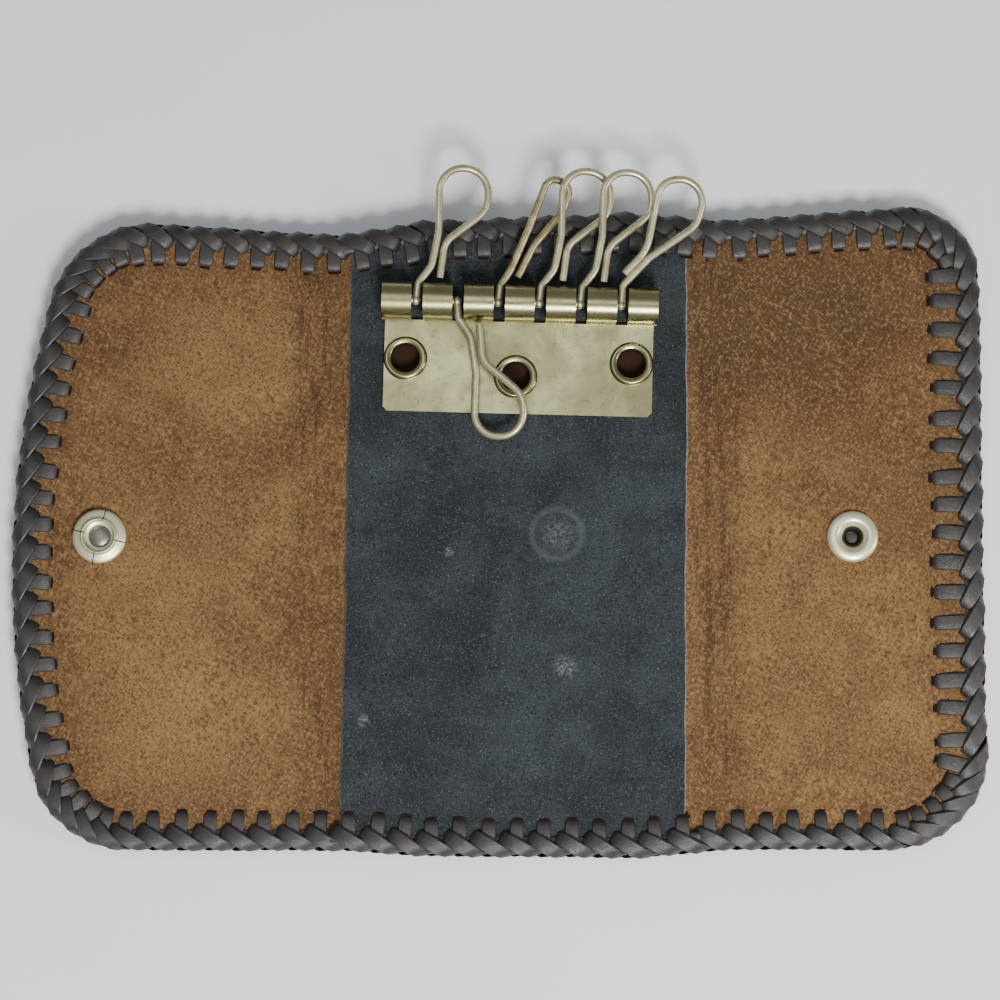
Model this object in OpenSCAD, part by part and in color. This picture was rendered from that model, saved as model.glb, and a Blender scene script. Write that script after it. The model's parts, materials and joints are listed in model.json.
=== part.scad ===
// Tri-fold leather key case with a laced edge and six key hooks, lying open with the inside up.
// Millimetres. X runs across the three panels, Y up the case, Z up from the surface it lies on.

/* [Leather] */
// Height of the outer leather's underside above the surface that the case lies on
leather_lift = 2.25; // [2.25:0.05:4]
// Thickness of the outer leather
leather_thickness = 2.0; // [1.2:0.1:3]
// Thickness of the liner
liner_thickness = 1.0; // [0.6:0.1:2]
// Width of the right flap, from the middle of its fold to its edge
right_flap_width = 41.1; // [35:0.1:55]
// Width of the left flap, from the middle of its fold to its edge's furthest point
left_flap_width = 52.4; // [45:0.1:65]
// Distance from the middle to the top edge at the left corner
top_reach_left = 51.2; // [35:0.1:70]
// The same at the left fold
top_reach_left_fold = 49; // [35:0.1:70]
// The same at the left of the middle panel, where it swells out
top_reach_middle_left = 51.3; // [35:0.1:70]
// The same at the right of the middle panel
top_reach_middle_right = 52.6; // [35:0.1:70]
// The same at the right fold
top_reach_right_fold = 51.5; // [35:0.1:70]
// The same at the right corner
top_reach_right = 53.6; // [35:0.1:70]
// Distance from the middle to the bottom edge at the left corner
bottom_reach_left = 47.9; // [35:0.1:70]
// The same at the left fold
bottom_reach_left_fold = 48.1; // [35:0.1:70]
// The same at the left of the middle panel
bottom_reach_middle_left = 48.9; // [35:0.1:70]
// The same at the right of the middle panel
bottom_reach_middle_right = 49.2; // [35:0.1:70]
// The same at the right fold
bottom_reach_right_fold = 48; // [35:0.1:70]
// The same at the right corner
bottom_reach_right = 47.9; // [35:0.1:70]
// How far from a fold the middle panel reaches its full height
swell_length = 14; // [8:0.5:25]
// Radius of the leather's corners
corner_radius = 10.8; // [5:0.1:15]
// Radius of its lower right corner, which is worn rounder
worn_corner_radius = 14; // [5:0.1:20]
// Radius of the left flap's bowed edge
left_bow_radius = 163; // [100:1:400]
// How far below the middle the bow's centre lies
left_bow_drop = 2.8; // [0:0.1:10]
// Distance from the middle to the liner's left edge
liner_left_reach = 25.7; // [20:0.1:35]
// Distance from the middle to the liner's right edge
liner_right_reach = 30.4; // [20:0.1:35]

/* [Folds] */
// Distance from the middle to the middle of the left fold
left_fold_reach = 25.7; // [20:0.1:40]
// Distance from the middle to the middle of the right fold
right_fold_reach = 35.8; // [20:0.1:45]
// Room left between two faces when the case is closed
closing_room = 0.3; // [0.1:0.05:1]
// Width of the crease between two strips of a fold
crease_width = 0.05; // [0.02:0.01:0.2]

/* [Lacing] */
// Width of the flat lace
lace_width = 2.4; // [1.6:0.1:4]
// Thickness of the lace
lace_thickness = 0.9; // [0.5:0.05:1.5]
// Height of the braid above the leather
braid_rise = 1.25; // [0.9:0.05:2]
// How far the braid stands out from the leather's edge
braid_overhang = 1.6; // [1:0.1:3]
// Length of one braid strap
strap_length = 5.2; // [3:0.1:7]
// Width of one braid strap
strap_width = 2.7; // [1.2:0.1:3]
// Thickness of one braid strap
strap_thickness = 0.8; // [0.5:0.05:1.5]
// Slope of a strap over the edge, in degrees
strap_slope = 14; // [0:1:60]
// Lean of a strap along the edge, in degrees
strap_lean = 33; // [20:1:60]
// Bevel of the lace's edges
lace_bevel = 0.35; // [0.1:0.05:0.8]
// Distance from the edge to the lace slits
slit_inset = 3.6; // [3:0.1:6]
// The same along the right flap's far edge
slit_inset_right = 5.4; // [3:0.1:10]
// Distance between stitches along the top edge
top_pitch = 4.1; // [3:0.1:7]
// Distance between stitches along the bottom edge
bottom_pitch = 4.4; // [3:0.1:7]
// Distance between stitches along the two far edges
side_pitch = 4.7; // [3:0.1:7]

/* [Key plate] */
// Distance from the middle to the middle of the barrel, to the right
barrel_x = 2.95; // [-10:0.05:10]
// Distance from the middle up to the barrel's axis
barrel_y = 39; // [20:0.1:45]
// Turn of the riveted plate, in degrees
plate_skew = -1.5; // [-3:0.1:3]
// Outside diameter of the rolled barrel
barrel_diameter = 5.8; // [4:0.1:9]
// Thickness of the sheet
sheet_thickness = 0.6; // [0.4:0.05:1]
// Length of one knuckle of the barrel
knuckle_length = 4.8; // [3:0.1:8]
// Width of the slot between two knuckles
slot_width = 1.9; // [1.4:0.1:3]
// Depth of the plate below the barrel's axis
plate_depth = 18; // [12:0.5:30]
// How much shorter than the barrel the plate is at each end
plate_step = 0.5; // [0:0.1:2]
// Size of the plate's cut lower corners
plate_corner = 0.7; // [0.3:0.1:4]
// Distance below the axis of the two outer eyelets
eyelet_drop = 9.3; // [7:0.1:14]
// Distance below the axis of the middle eyelet
middle_eyelet_drop = 11.9; // [7:0.1:14]
// Distance of the middle eyelet to the right of the plate's middle
middle_eyelet_shift = -0.4; // [-3:0.1:3]
// Room between an outer eyelet's rim and the plate's end
eyelet_margin = 0.45; // [0.2:0.05:6]
// Outside diameter of an eyelet
eyelet_diameter = 7.1; // [5:0.1:9]
// Bore of an eyelet
eyelet_bore = 4.5; // [2:0.1:6]
// Height of an eyelet's rim above the plate
eyelet_rise = 0.8; // [0.4:0.05:1.5]
// Thickness of an eyelet's wall
eyelet_wall = 0.3; // [0.2:0.05:0.5]
// Width of the gap where the rolled sheet ends
seam_width = 0.25; // [0.1:0.05:0.5]
// Angle of that gap, in degrees
seam_angle = 215; // [190:1:260]

/* [Hooks] */
// Diameter of the hook wire
wire_diameter = 1.2; // [0.8:0.05:2]
// How much thicker the wire's straight parts are than its bends
wire_step = 0.04; // [0.02:0.01:0.1]
// How far a straight part laps into the bends at its ends, in all
wire_lap = 0.3; // [0.1:0.05:0.5]
// Reach of a hook from the barrel's axis
hook_reach = 22; // [15:0.5:35]
// Diameter of the ball that holds a hook in its knuckle
hook_ball_diameter = 4.48; // [3:0.01:6]
// Diameter of the bend in the slot
hook_knee_diameter = 1.6; // [1.2:0.05:1.8]
// How far to the left of its slot's middle a hook comes out of its knuckle
knee_shift = 0.25; // [0:0.05:0.4]
// Sideways slope of a hook's loop, in degrees, which lets each one lie under its neighbour
hook_slope = 13; // [8:0.5:20]
// Slope of the third hook's loop, which is twisted, in degrees
third_slope = 20; // [8:1:45]
// Angle of a hook above level where it rests on the top edge, in degrees
hook_rest_angle = 0; // [0:0.5:20]
// Angle of the third hook where it rests on the top edge, in degrees
third_rest_angle = -1.5; // [-5:0.5:20]
// Angle of the second hook, which lies down over the plate, in degrees
hook_down_angle = 180.5; // [170:0.5:190]

/* [Snap] */
// Place of the snap in the room between the two flaps' lacing when closed, as a share from the left one
snap_share = 0.23; // [0:0.01:1]
// Distance of the snap above the middle
snap_y = 1; // [-10:0.1:10]
// Outside diameter of the socket
socket_diameter = 8.8; // [7:0.1:14]
// Height of the socket above the leather
socket_rise = 1.9; // [1.2:0.05:3]
// Bore of the socket
socket_bore = 5.1; // [3:0.1:7]
// Width of the socket's four slits
socket_slit = 0.25; // [0.1:0.05:0.6]
// Turn of those slits, in degrees
socket_turn = -14; // [-45:1:45]
// Diameter of the domed post end inside the socket
post_end_diameter = 3.7; // [2.5:0.1:4]
// Height of that post end
post_end_rise = 0.7; // [0.3:0.05:1]
// Thickness of the socket's floor
socket_floor = 0.2; // [0.15:0.05:0.5]
// Thickness of the clinched end inside the stud
clinch_thickness = 0.25; // [0.15:0.05:0.5]
// Room between that end and the stud's hollow head
clinch_room = 0.15; // [0.05:0.05:0.3]
// Diameter of the posts through the leather
post_diameter = 3; // [2:0.1:4]
// Diameter of the cap
cap_diameter = 10.4; // [8:0.1:16]
// Height of the cap's dome
cap_rise = 1.9; // [1:0.1:3]
// Diameter of the stud's flange
stud_flange_diameter = 7.6; // [6:0.1:12]
// Thickness of the stud's flange
stud_flange_thickness = 0.6; // [0.4:0.05:1]
// Diameter of the stud's head
stud_head_diameter = 4.94; // [3:0.02:6]
// Height of the stud
stud_rise = 2.25; // [1.5:0.05:3]
// Bore of the stud's hollow head
stud_hollow_diameter = 3.9; // [2:0.1:5]
// Diameter of the eyelet flange that holds the stud
stud_eyelet_diameter = 8.5; // [7:0.1:12]
// Height of that flange's raised ring
stud_eyelet_rise = 0.9; // [0.4:0.05:1.5]
// Bore of that eyelet
stud_eyelet_bore = 1.8; // [1:0.1:2.4]

/* [Frame] */
// Distance from the middle of the liner to the middle of the whole case, to the right
frame_x = -0.1; // [-2:0.01:2]
// The same, up the case
frame_y = 5.41; // [0:0.01:10]

/* [Hidden] */
$fn = 64;
leather_top = leather_lift + leather_thickness;
liner_top = leather_top + liner_thickness;
// corners of a hook's outline, across and up from the barrel's axis, and their bends, as shares of its reach
hook_x_shares = [0, 0.014, 0.11, 0.155, 0.147, 0.519, 0.523, 0.203, 0.177];
hook_y_shares = [0, 0.125, 0.26, 0.52, 1, 1, 0.7, 0.44, 0.18];
hook_bend_shares = [0, 0.06, 0.15, 0.3, 0.178, 0.178, 0.2, 0.16, 0];
// the same for the third hook, which is bent narrower
third_x_shares = [0, 0.014, 0.085, 0.216, 0.351, 0.536, 0.466, 0.261, 0.147];
third_y_shares = [0, 0.125, 0.24, 0.57, 0.955, 0.9, 0.69, 0.44, 0.2];
third_bend_shares = [0, 0.06, 0.15, 0.5, 0.085, 0.085, 0.2, 0.3, 0];
// the same for the sixth hook, which leans the other way
sixth_x_shares = [0, 0.01, 0.2, 0.545, 0.651, 0.261, 0.181, 0.02];
sixth_y_shares = [0, 0.15, 0.36, 0.61, 0.99, 0.93, 0.42, 0.24];
sixth_bend_shares = [0, 0.06, 0.3, 0.17, 0.17, 0.15, 0.3, 0];
// outline of the socket's ring, as shares of its wall and its rise
socket_x_shares = [1, 1, 0.89, 0.22, 0.16, 0.05, 0];
socket_z_shares = [0.1, 0.45, 0.65, 0.75, 1, 1, 0.85];
// outline of the stud's head, as shares of its radius and its rise
stud_x_shares = [0.9, 1, 1, 0.9];
stud_z_shares = [0.43, 0.6, 0.8, 1];
// outline of the eyelet flange that holds the stud, as shares of its radius and its rise
stud_eyelet_x_shares = [1, 0.96, 0.8, 0.6, 0.45, 0.3];
stud_eyelet_z_shares = [0, 0.45, 0.8, 1, 0.85, 0.3];
dome_steps = 8;
barrel_z = liner_top + barrel_diameter / 2;
slot_pitch = knuckle_length + slot_width;
barrel_length = 7 * knuckle_length + 6 * slot_width;
barrel_bore = barrel_diameter - 2 * sheet_thickness;
right_reach = right_fold_reach + right_flap_width;
left_reach = left_fold_reach + left_flap_width;
// heights of the closed flaps' inner faces above the liner, and the strips that reach them
right_stack = barrel_diameter + braid_rise + closing_room;
left_stack = right_stack + leather_thickness + 2 * braid_rise + closing_room;
right_folds = [for (i = [-0.5, 0.5]) right_fold_reach + i * (right_stack - liner_thickness)];
left_folds = [for (i = [-0.5, 0.5]) -left_fold_reach - i * (left_stack - liner_thickness)];
// the snap's two halves meet when both flaps are closed, clear of both laced edges
socket_inset = slit_inset + lace_thickness + cap_diameter / 2;
stud_inset = slit_inset_right + lace_thickness + stud_eyelet_diameter / 2;
snap_room = left_flap_width - left_fold_reach + right_flap_width - right_fold_reach - socket_inset
  - stud_inset;
socket_reach = left_reach - socket_inset - snap_share * snap_room;
stud_x = 2 * (right_fold_reach + left_fold_reach) - socket_reach;
bow_x = left_bow_radius - left_reach;
corner_right_x = right_reach - corner_radius;
corner_top_y = top_reach_left - corner_radius;
corner_bottom_y = -bottom_reach_left + corner_radius;
worn_corner_x = right_reach - worn_corner_radius;
worn_corner_y = -bottom_reach_right + worn_corner_radius;
function bow_at(y, r) = bow_x - sqrt(r * r - (y + left_bow_drop) * (y + left_bow_drop));
corner_left_top_x = bow_at(corner_top_y, left_bow_radius - corner_radius);
corner_left_bottom_x = bow_at(corner_bottom_y, left_bow_radius - corner_radius);
bow_top_angle = atan2(corner_top_y + left_bow_drop, bow_x - corner_left_top_x);
bow_bottom_angle = atan2(corner_bottom_y + left_bow_drop, bow_x - corner_left_bottom_x);
strap_rise = (strap_length * sin(strap_lean) + strap_width * cos(strap_lean)) / 2;
strap_y = braid_overhang - strap_rise * cos(strap_slope);
strap_z = braid_rise - strap_rise * sin(strap_slope) - strap_thickness / 2 * cos(strap_slope);
strap_reach = (strap_length * cos(strap_lean) + strap_width * sin(strap_lean)) / 2;
// room at a fold for what stands above its axis
fold_room = braid_rise + crease_width;
strip_room = braid_rise - liner_thickness + crease_width;
eyelet_tube_diameter = eyelet_bore + 2 * eyelet_wall;
eyelet_spacing = barrel_length / 2 - eyelet_margin - eyelet_diameter / 2;
eyelet_points = [
  [-eyelet_spacing, -eyelet_drop], [middle_eyelet_shift, -middle_eyelet_drop], [eyelet_spacing, -eyelet_drop]
];
top_line = [
  [corner_left_top_x, top_reach_left],
  [-left_fold_reach, top_reach_left_fold],
  [-left_fold_reach + swell_length, top_reach_middle_left],
  [right_fold_reach - swell_length, top_reach_middle_right],
  [right_fold_reach, top_reach_right_fold],
  [corner_right_x, top_reach_right],
];
bottom_line = [
  [corner_left_bottom_x, -bottom_reach_left],
  [-left_fold_reach, -bottom_reach_left_fold],
  [-left_fold_reach + swell_length, -bottom_reach_middle_left],
  [right_fold_reach - swell_length, -bottom_reach_middle_right],
  [right_fold_reach, -bottom_reach_right_fold],
  [worn_corner_x, -bottom_reach_right],
];
function top_at(x) = lookup(x, top_line);
function bottom_at(x) = lookup(x, bottom_line);
// a stitch is [x, y, outward angle, inset of its slit], and runs go clockwise round the case
function run(a, b, pitch, inset) = let(
  n = max(1, round(norm(b - a) / pitch)), angle = atan2(b[1] - a[1], b[0] - a[0]) + 90
) [for (i = [0:n - 1]) let(p = a + (b - a) * (i + 0.5) / n) [p[0], p[1], angle, inset]];
function fan(x, y, r, from, to, count) = [
  for (i = [0:count - 1]) let(a = from + (to - from) * (i + 0.5) / count)
    [x + r * cos(a), y + r * sin(a), a, slit_inset]
];
function bow_run(from, to, count) = [
  for (i = [0:count - 1]) let(a = from + (to - from) * (i + 0.5) / count)
    [bow_x - left_bow_radius * cos(a), left_bow_radius * sin(a) - left_bow_drop, 180 - a, slit_inset]
];
bow_length = left_bow_radius * (bow_top_angle - bow_bottom_angle) * PI / 180;
right_top_y = top_reach_right - corner_radius;
right_flap_stitches = concat(
  run([right_folds[1], top_at(right_folds[1])], [corner_right_x, top_reach_right], top_pitch, slit_inset),
  fan(corner_right_x, right_top_y, corner_radius, 90, 0, 3),
  run([right_reach, right_top_y], [right_reach, worn_corner_y], side_pitch, slit_inset_right),
  fan(worn_corner_x, worn_corner_y, worn_corner_radius, 0, -90, 4),
  bottom_run(right_folds[1], worn_corner_x)
);
left_flap_stitches = concat(
  run([corner_left_top_x, top_reach_left], [left_folds[1], top_at(left_folds[1])], top_pitch, slit_inset),
  fan(corner_left_top_x, corner_top_y, corner_radius, 90, 180 - bow_top_angle, 3),
  bow_run(bow_top_angle, bow_bottom_angle, round(bow_length / side_pitch)),
  fan(corner_left_bottom_x, corner_bottom_y, corner_radius, 180 - bow_bottom_angle, 270, 3),
  bottom_run(corner_left_bottom_x, left_folds[1])
);
function top_run(a, b) = run([a, top_at(a)], [b, top_at(b)], top_pitch, slit_inset);
function bottom_run(a, b) = run([b, bottom_at(b)], [a, bottom_at(a)], bottom_pitch, slit_inset);
swell = [left_folds[0], swell_length - left_fold_reach, right_fold_reach - swell_length, liner_right_reach];
centre_top_stitches = [for (i = [0:2]) each top_run(swell[i], swell[i + 1])];
centre_bottom_stitches = [for (i = [0:2]) each bottom_run(swell[i], swell[i + 1])];
right_strip_stitches = concat(
  top_run(right_folds[0], right_folds[1]), bottom_run(right_folds[0], right_folds[1])
);
left_liner_stitches = concat(
  top_run(-liner_left_reach, left_folds[0]), bottom_run(-liner_left_reach, left_folds[0])
);
// these stand clear of the liner's edge
bare_x = -liner_left_reach - crease_width - strap_reach;
left_bare_stitches = concat(
  top_run(bare_x - lace_width / 2, bare_x + lace_width / 2),
  bottom_run(bare_x - lace_width / 2, bare_x + lace_width / 2)
);

module in_frame() translate([-frame_x, -frame_y, 0]) children();

module slab(points, z0, z1) translate([0, 0, z0]) linear_extrude(z1 - z0) polygon(points);

module corner_cut(x, y, r, from, to) {
  far = 2 * r;
  middle = (from + to) / 2;
  translate([x, y, 0]) difference() {
    linear_extrude(2 * liner_top) polygon([
      [0, 0], far * [cos(from), sin(from)], 2 * far * [cos(middle), sin(middle)], far * [cos(to), sin(to)]
    ]);
    cylinder(r = r, h = 4 * liner_top, center = true);
  }
}

module slits(stitches) {
  for (s = stitches) translate([s[0], s[1], 0]) rotate(s[2] - 90)
    translate([0, -s[3] - lace_thickness / 2, 0])
      cube([lace_width, lace_thickness, 4 * liner_top], center = true);
}

// a strip of leather across the case, between two folds
module strip(x0, x1, z0, z1, stitches) {
  difference() {
    slab(concat(
      [[x0, top_at(x0)], [x0, bottom_at(x0)]],
      [for (p = bottom_line) if (p[0] > x0 && p[0] < x1) p],
      [[x1, bottom_at(x1)], [x1, top_at(x1)]],
      [for (i = [len(top_line) - 1:-1:0]) if (top_line[i][0] > x0 && top_line[i][0] < x1) top_line[i]]
    ), z0, z1);
    slits(stitches);
  }
}

// one turn of the lace: through its slit, over the edge and back, with the two crossing straps of the braid
module stitch(inset, top) {
  t = lace_thickness;
  far = -inset - t;
  difference() {
    union() {
      rotate([90, 0, 90]) linear_extrude(lace_width, center = true) polygon([
        [far + lace_bevel, leather_lift - t], [t - lace_bevel, leather_lift - t],
        [t, leather_lift - t + lace_bevel], [t, top + t - lace_bevel], [t - lace_bevel, top + t],
        [far + lace_bevel, top + t], [far, top + t - lace_bevel], [far, leather_lift - t + lace_bevel],
      ]);
      translate([0, 0, (leather_lift + top) / 2]) for (side = [0, 1]) mirror([0, 0, side])
        translate([0, strap_y, (top - leather_lift) / 2 + strap_z])
          rotate([-strap_slope, 0, 0]) rotate(-strap_lean)
            cube([strap_length, strap_width, strap_thickness], center = true);
    }
    // the leather's edge
    translate([-strap_length, -inset, leather_lift]) cube([2 * strap_length, inset, top - leather_lift]);
  }
}

// the stitches' lace between two lines across the case
module lacing(stitches, top, x0, x1) {
  tall = 4 * liner_top;
  intersection() {
    union() for (s = stitches) translate([s[0], s[1], 0]) rotate(s[2] - 90) stitch(s[3], top);
    translate([x0, -right_reach, -tall / 2]) cube([x1 - x0, 2 * right_reach, tall]);
  }
}

module centre_panel() color("saddlebrown") in_frame() strip(
  left_folds[0] + crease_width, right_folds[0] - crease_width, leather_lift, leather_top,
  concat(centre_top_stitches, centre_bottom_stitches)
);

module left_strip() color("saddlebrown") in_frame() strip(
  left_folds[1] + crease_width, left_folds[0] - crease_width, leather_lift, leather_top,
  concat(left_liner_stitches, left_bare_stitches)
);

module right_strip() color("saddlebrown") in_frame() strip(
  right_folds[0] + crease_width, right_folds[1] - crease_width, leather_lift, leather_top,
  right_strip_stitches
);

module left_flap() color("saddlebrown") in_frame() {
  x0 = left_folds[1] - crease_width;
  difference() {
    intersection() {
      slab([
        [x0, bottom_at(x0)], [x0, top_at(x0)], [corner_left_top_x, top_reach_left],
        [-left_bow_radius, top_reach_left], [-left_bow_radius, -bottom_reach_left],
        [corner_left_bottom_x, -bottom_reach_left]
      ], leather_lift, leather_top);
      translate([bow_x, -left_bow_drop, 0]) cylinder(r = left_bow_radius, h = 2 * liner_top, $fn = 128);
    }
    corner_cut(corner_left_top_x, corner_top_y, corner_radius, 90, 180 - bow_top_angle);
    corner_cut(corner_left_bottom_x, corner_bottom_y, corner_radius, 180 - bow_bottom_angle, 270);
    slits(left_flap_stitches);
    translate([-socket_reach, snap_y, 0]) cylinder(d = post_diameter, h = 2 * liner_top);
  }
}

module right_flap() color("saddlebrown") in_frame() {
  x0 = right_folds[1] + crease_width;
  difference() {
    slab([
      [x0, bottom_at(x0)], [worn_corner_x, -bottom_reach_right], [right_reach, -bottom_reach_right],
      [right_reach, top_reach_right], [corner_right_x, top_reach_right], [x0, top_at(x0)]
    ], leather_lift, leather_top);
    corner_cut(corner_right_x, right_top_y, corner_radius, 0, 90);
    corner_cut(worn_corner_x, worn_corner_y, worn_corner_radius, -90, 0);
    slits(right_flap_stitches);
    translate([stud_x, snap_y, 0]) cylinder(d = post_diameter, h = 2 * liner_top);
  }
}

module liner() color("midnightblue") in_frame() difference() {
  strip(
    left_folds[0] + crease_width, liner_right_reach, leather_top, liner_top,
    concat(centre_top_stitches, centre_bottom_stitches)
  );
  on_plate() for (p = eyelet_points) translate([p[0], p[1], 0]) {
    cylinder(d = eyelet_tube_diameter, h = 2 * liner_top);
    cylinder(d = eyelet_diameter, h = leather_top + eyelet_wall);
  }
}

module liner_left_edge() color("midnightblue") in_frame()
  strip(-liner_left_reach, left_folds[0] - crease_width, leather_top, liner_top, left_liner_stitches);

module centre_top_lacing() color("dimgray") in_frame()
  lacing(centre_top_stitches, liner_top, left_folds[0] + fold_room, right_folds[0] - fold_room);

module centre_bottom_lacing() color("dimgray") in_frame()
  lacing(centre_bottom_stitches, liner_top, left_folds[0] + fold_room, right_folds[0] - fold_room);

module left_strip_lacing() color("dimgray") in_frame() {
  lacing(left_liner_stitches, liner_top, left_folds[1] + strip_room, left_folds[0] - fold_room);
  lacing(left_bare_stitches, leather_top, left_folds[1] + strip_room, left_folds[0] - fold_room);
}

module right_strip_lacing() color("dimgray") in_frame()
  lacing(right_strip_stitches, leather_top, right_folds[0] + strip_room, right_folds[1] - strip_room);

module left_flap_lacing() color("dimgray") in_frame()
  lacing(left_flap_stitches, leather_top, -2 * left_reach, left_folds[1] - strip_room);

module right_flap_lacing() color("dimgray") in_frame()
  lacing(right_flap_stitches, leather_top, right_folds[1] + strip_room, 2 * right_reach);

// places what is drawn about the barrel's axis: across, down the plate, and up from the surface
module on_plate() translate([barrel_x, barrel_y, 0]) rotate(plate_skew) children();

module key_plate() color("gainsboro") in_frame() on_plate() {
  half = barrel_length / 2;
  low = half - plate_step;
  inside = barrel_bore / 2;
  difference() {
    union() {
      slab([
        [-half, 0], [-half, -barrel_diameter / 2], [-low, -barrel_diameter / 2],
        [-low, plate_corner - plate_depth], [plate_corner - low, -plate_depth],
        [low - plate_corner, -plate_depth], [low, plate_corner - plate_depth],
        [low, -barrel_diameter / 2], [half, -barrel_diameter / 2], [half, 0]
      ], liner_top, liner_top + sheet_thickness);
      translate([0, 0, barrel_z]) rotate([0, 90, 0])
        cylinder(d = barrel_diameter, h = barrel_length, center = true);
    }
    translate([0, 0, barrel_z]) rotate([0, 90, 0])
      cylinder(r = inside, h = 2 * barrel_length, center = true);
    // the seam where the rolled sheet ends, above the plate
    translate([0, 0, barrel_z]) rotate([seam_angle, 0, 0]) translate([0, inside + sheet_thickness / 2, 0])
      cube([2 * barrel_length, 2 * sheet_thickness, seam_width], center = true);
    for (i = [0:5]) translate([(i - 2.5) * slot_pitch, 0, liner_top + barrel_diameter / 2])
      cube([slot_width, barrel_diameter, 2 * barrel_diameter], center = true);
    for (p = eyelet_points) translate([p[0], p[1], 0])
      cylinder(d = eyelet_tube_diameter, h = 2 * liner_top);
  }
}

module plate_eyelets() color("silver") in_frame() on_plate() for (p = eyelet_points)
  translate([p[0], p[1], 0]) rotate_extrude() {
    inner = eyelet_bore / 2;
    tube = eyelet_tube_diameter / 2;
    outer = eyelet_diameter / 2;
    foot = leather_top;
    seat = liner_top + sheet_thickness;
    crown = seat + eyelet_rise;
    polygon([
      [inner, foot], [outer, foot], [outer, foot + eyelet_wall], [tube, foot + eyelet_wall], [tube, seat],
      [outer, seat], [outer - eyelet_wall / 2, seat + eyelet_rise / 2],
      [(outer + inner) / 2 + eyelet_wall, crown], [(outer + inner) / 2 - eyelet_wall, crown],
      [inner, seat + eyelet_rise / 2]
    ]);
  }

// round wire along a path in the XY plane, with a bend of the given radius at each corner
module wire(points, bends) {
  last = len(points) - 1;
  turns = [for (i = [0:last]) i == 0 || i == last ? 0 : turn_at(points, i)];
  backs = [for (i = [0:last]) bends[i] * tan(abs(turns[i]) / 2)];
  for (i = [0:last - 1]) {
    leg = points[i + 1] - points[i];
    straight = norm(leg) - backs[i] - backs[i + 1];
    translate(points[i] + leg / norm(leg) * (backs[i] + straight / 2)) rotate(atan2(leg[1], leg[0]))
      rotate([0, 90, 0])
        cylinder(d = wire_diameter + wire_step, h = straight + wire_lap, center = true, $fn = 24);
  }
  for (i = [1:last - 1]) {
    leg = points[i] - points[i - 1];
    side = turns[i] > 0 ? 1 : -1;
    translate(points[i] - leg / norm(leg) * backs[i]) rotate(atan2(leg[1], leg[0]))
      translate([0, side * bends[i], 0]) rotate(side > 0 ? -90 : 90 - abs(turns[i]))
        rotate_extrude(angle = abs(turns[i]), $fn = 64) translate([bends[i], 0])
          circle(d = wire_diameter, $fn = 24);
  }
}

function turn_at(p, i) = let(
  a = p[i] - p[i - 1], b = p[i + 1] - p[i], c = atan2(b[1], b[0]) - atan2(a[1], a[0])
) c > 180 ? c - 360 : c < -180 ? c + 360 : c;

function path(x, y) = [for (i = [0:len(x) - 1]) hook_reach * [x[i], y[i]]];

// a hook at slot n, turned up from level about its foot, with its loop sloping to one side
module hook(n, turn, slope, x_shares, y_shares, bend_shares) color("silver") in_frame()
  on_plate() translate([(n - 3.5) * slot_pitch, 0, barrel_z]) {
    reach = (slot_width + knuckle_length) / 2;
    foot = reach - knee_shift;
    points = path(x_shares, y_shares);
    lean = lean_of(points, len(points) - 5);
    translate([-reach, 0, 0]) rotate([turn, 0, 0]) {
      rotate([0, 90, 0]) {
        sphere(d = hook_ball_diameter, $fn = 48);
        cylinder(d = wire_diameter, h = foot, $fn = 24);
      }
      translate([foot, 0, 0]) {
        sphere(d = hook_knee_diameter, $fn = 24);
        rotate(-lean) rotate([0, slope, 0]) rotate(lean)
          wire(points, hook_reach * bend_shares);
      }
    }
  }

// direction of a loop's far end, which is the fifth and fourth corner from the last
function lean_of(p, i) = atan2(p[i][0] + p[i + 1][0], p[i][1] + p[i + 1][1]);

module plain_hook(n, turn) hook(n, turn, hook_slope, hook_x_shares, hook_y_shares, hook_bend_shares);

module narrow_hook(n)
  hook(n, third_rest_angle, third_slope, third_x_shares, third_y_shares, third_bend_shares);

module leaning_hook(n)
  hook(n, hook_rest_angle, hook_slope, sixth_x_shares, sixth_y_shares, sixth_bend_shares);

// a quarter of an ellipse, from the axis outwards
function dome(r, h) = [for (i = [0:dome_steps]) let(a = 90 * i / dome_steps) [r * sin(a), h * cos(a)]];
function shared(x, y, x_shares, y_shares) = [
  for (i = [0:len(x_shares) - 1]) [x * x_shares[i], y * y_shares[i]]
];

module snap_cap() color("gainsboro") in_frame() translate([-socket_reach, snap_y, 0]) rotate_extrude() {
  post = post_diameter / 2;
  base = leather_top + socket_floor;
  post_end = dome(post_end_diameter / 2, post_end_rise);
  polygon(concat(
    [for (p = dome(cap_diameter / 2, cap_rise)) [p[0], leather_lift - p[1]]],
    [[post, leather_lift], [post, base]],
    [for (i = [dome_steps:-1:0]) [post_end[i][0], base + post_end[i][1]]]
  ));
}

module snap_socket() color("gainsboro") in_frame() translate([-socket_reach, snap_y, leather_top])
  difference() {
    hole = socket_bore / 2;
    wall = socket_diameter / 2 - hole;
    post = post_diameter / 2;
    rotate_extrude() polygon(concat(
      [[post, 0], [hole + wall - socket_floor, 0]],
      [for (p = shared(wall, socket_rise, socket_x_shares, socket_z_shares)) [hole + p[0], p[1]]],
      [[hole, socket_floor], [post, socket_floor]]
    ));
    for (a = [0:90:270]) rotate(a + socket_turn) translate([hole, -socket_slit / 2, socket_floor])
      cube([2 * wall, socket_slit, socket_rise]);
  }

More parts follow.
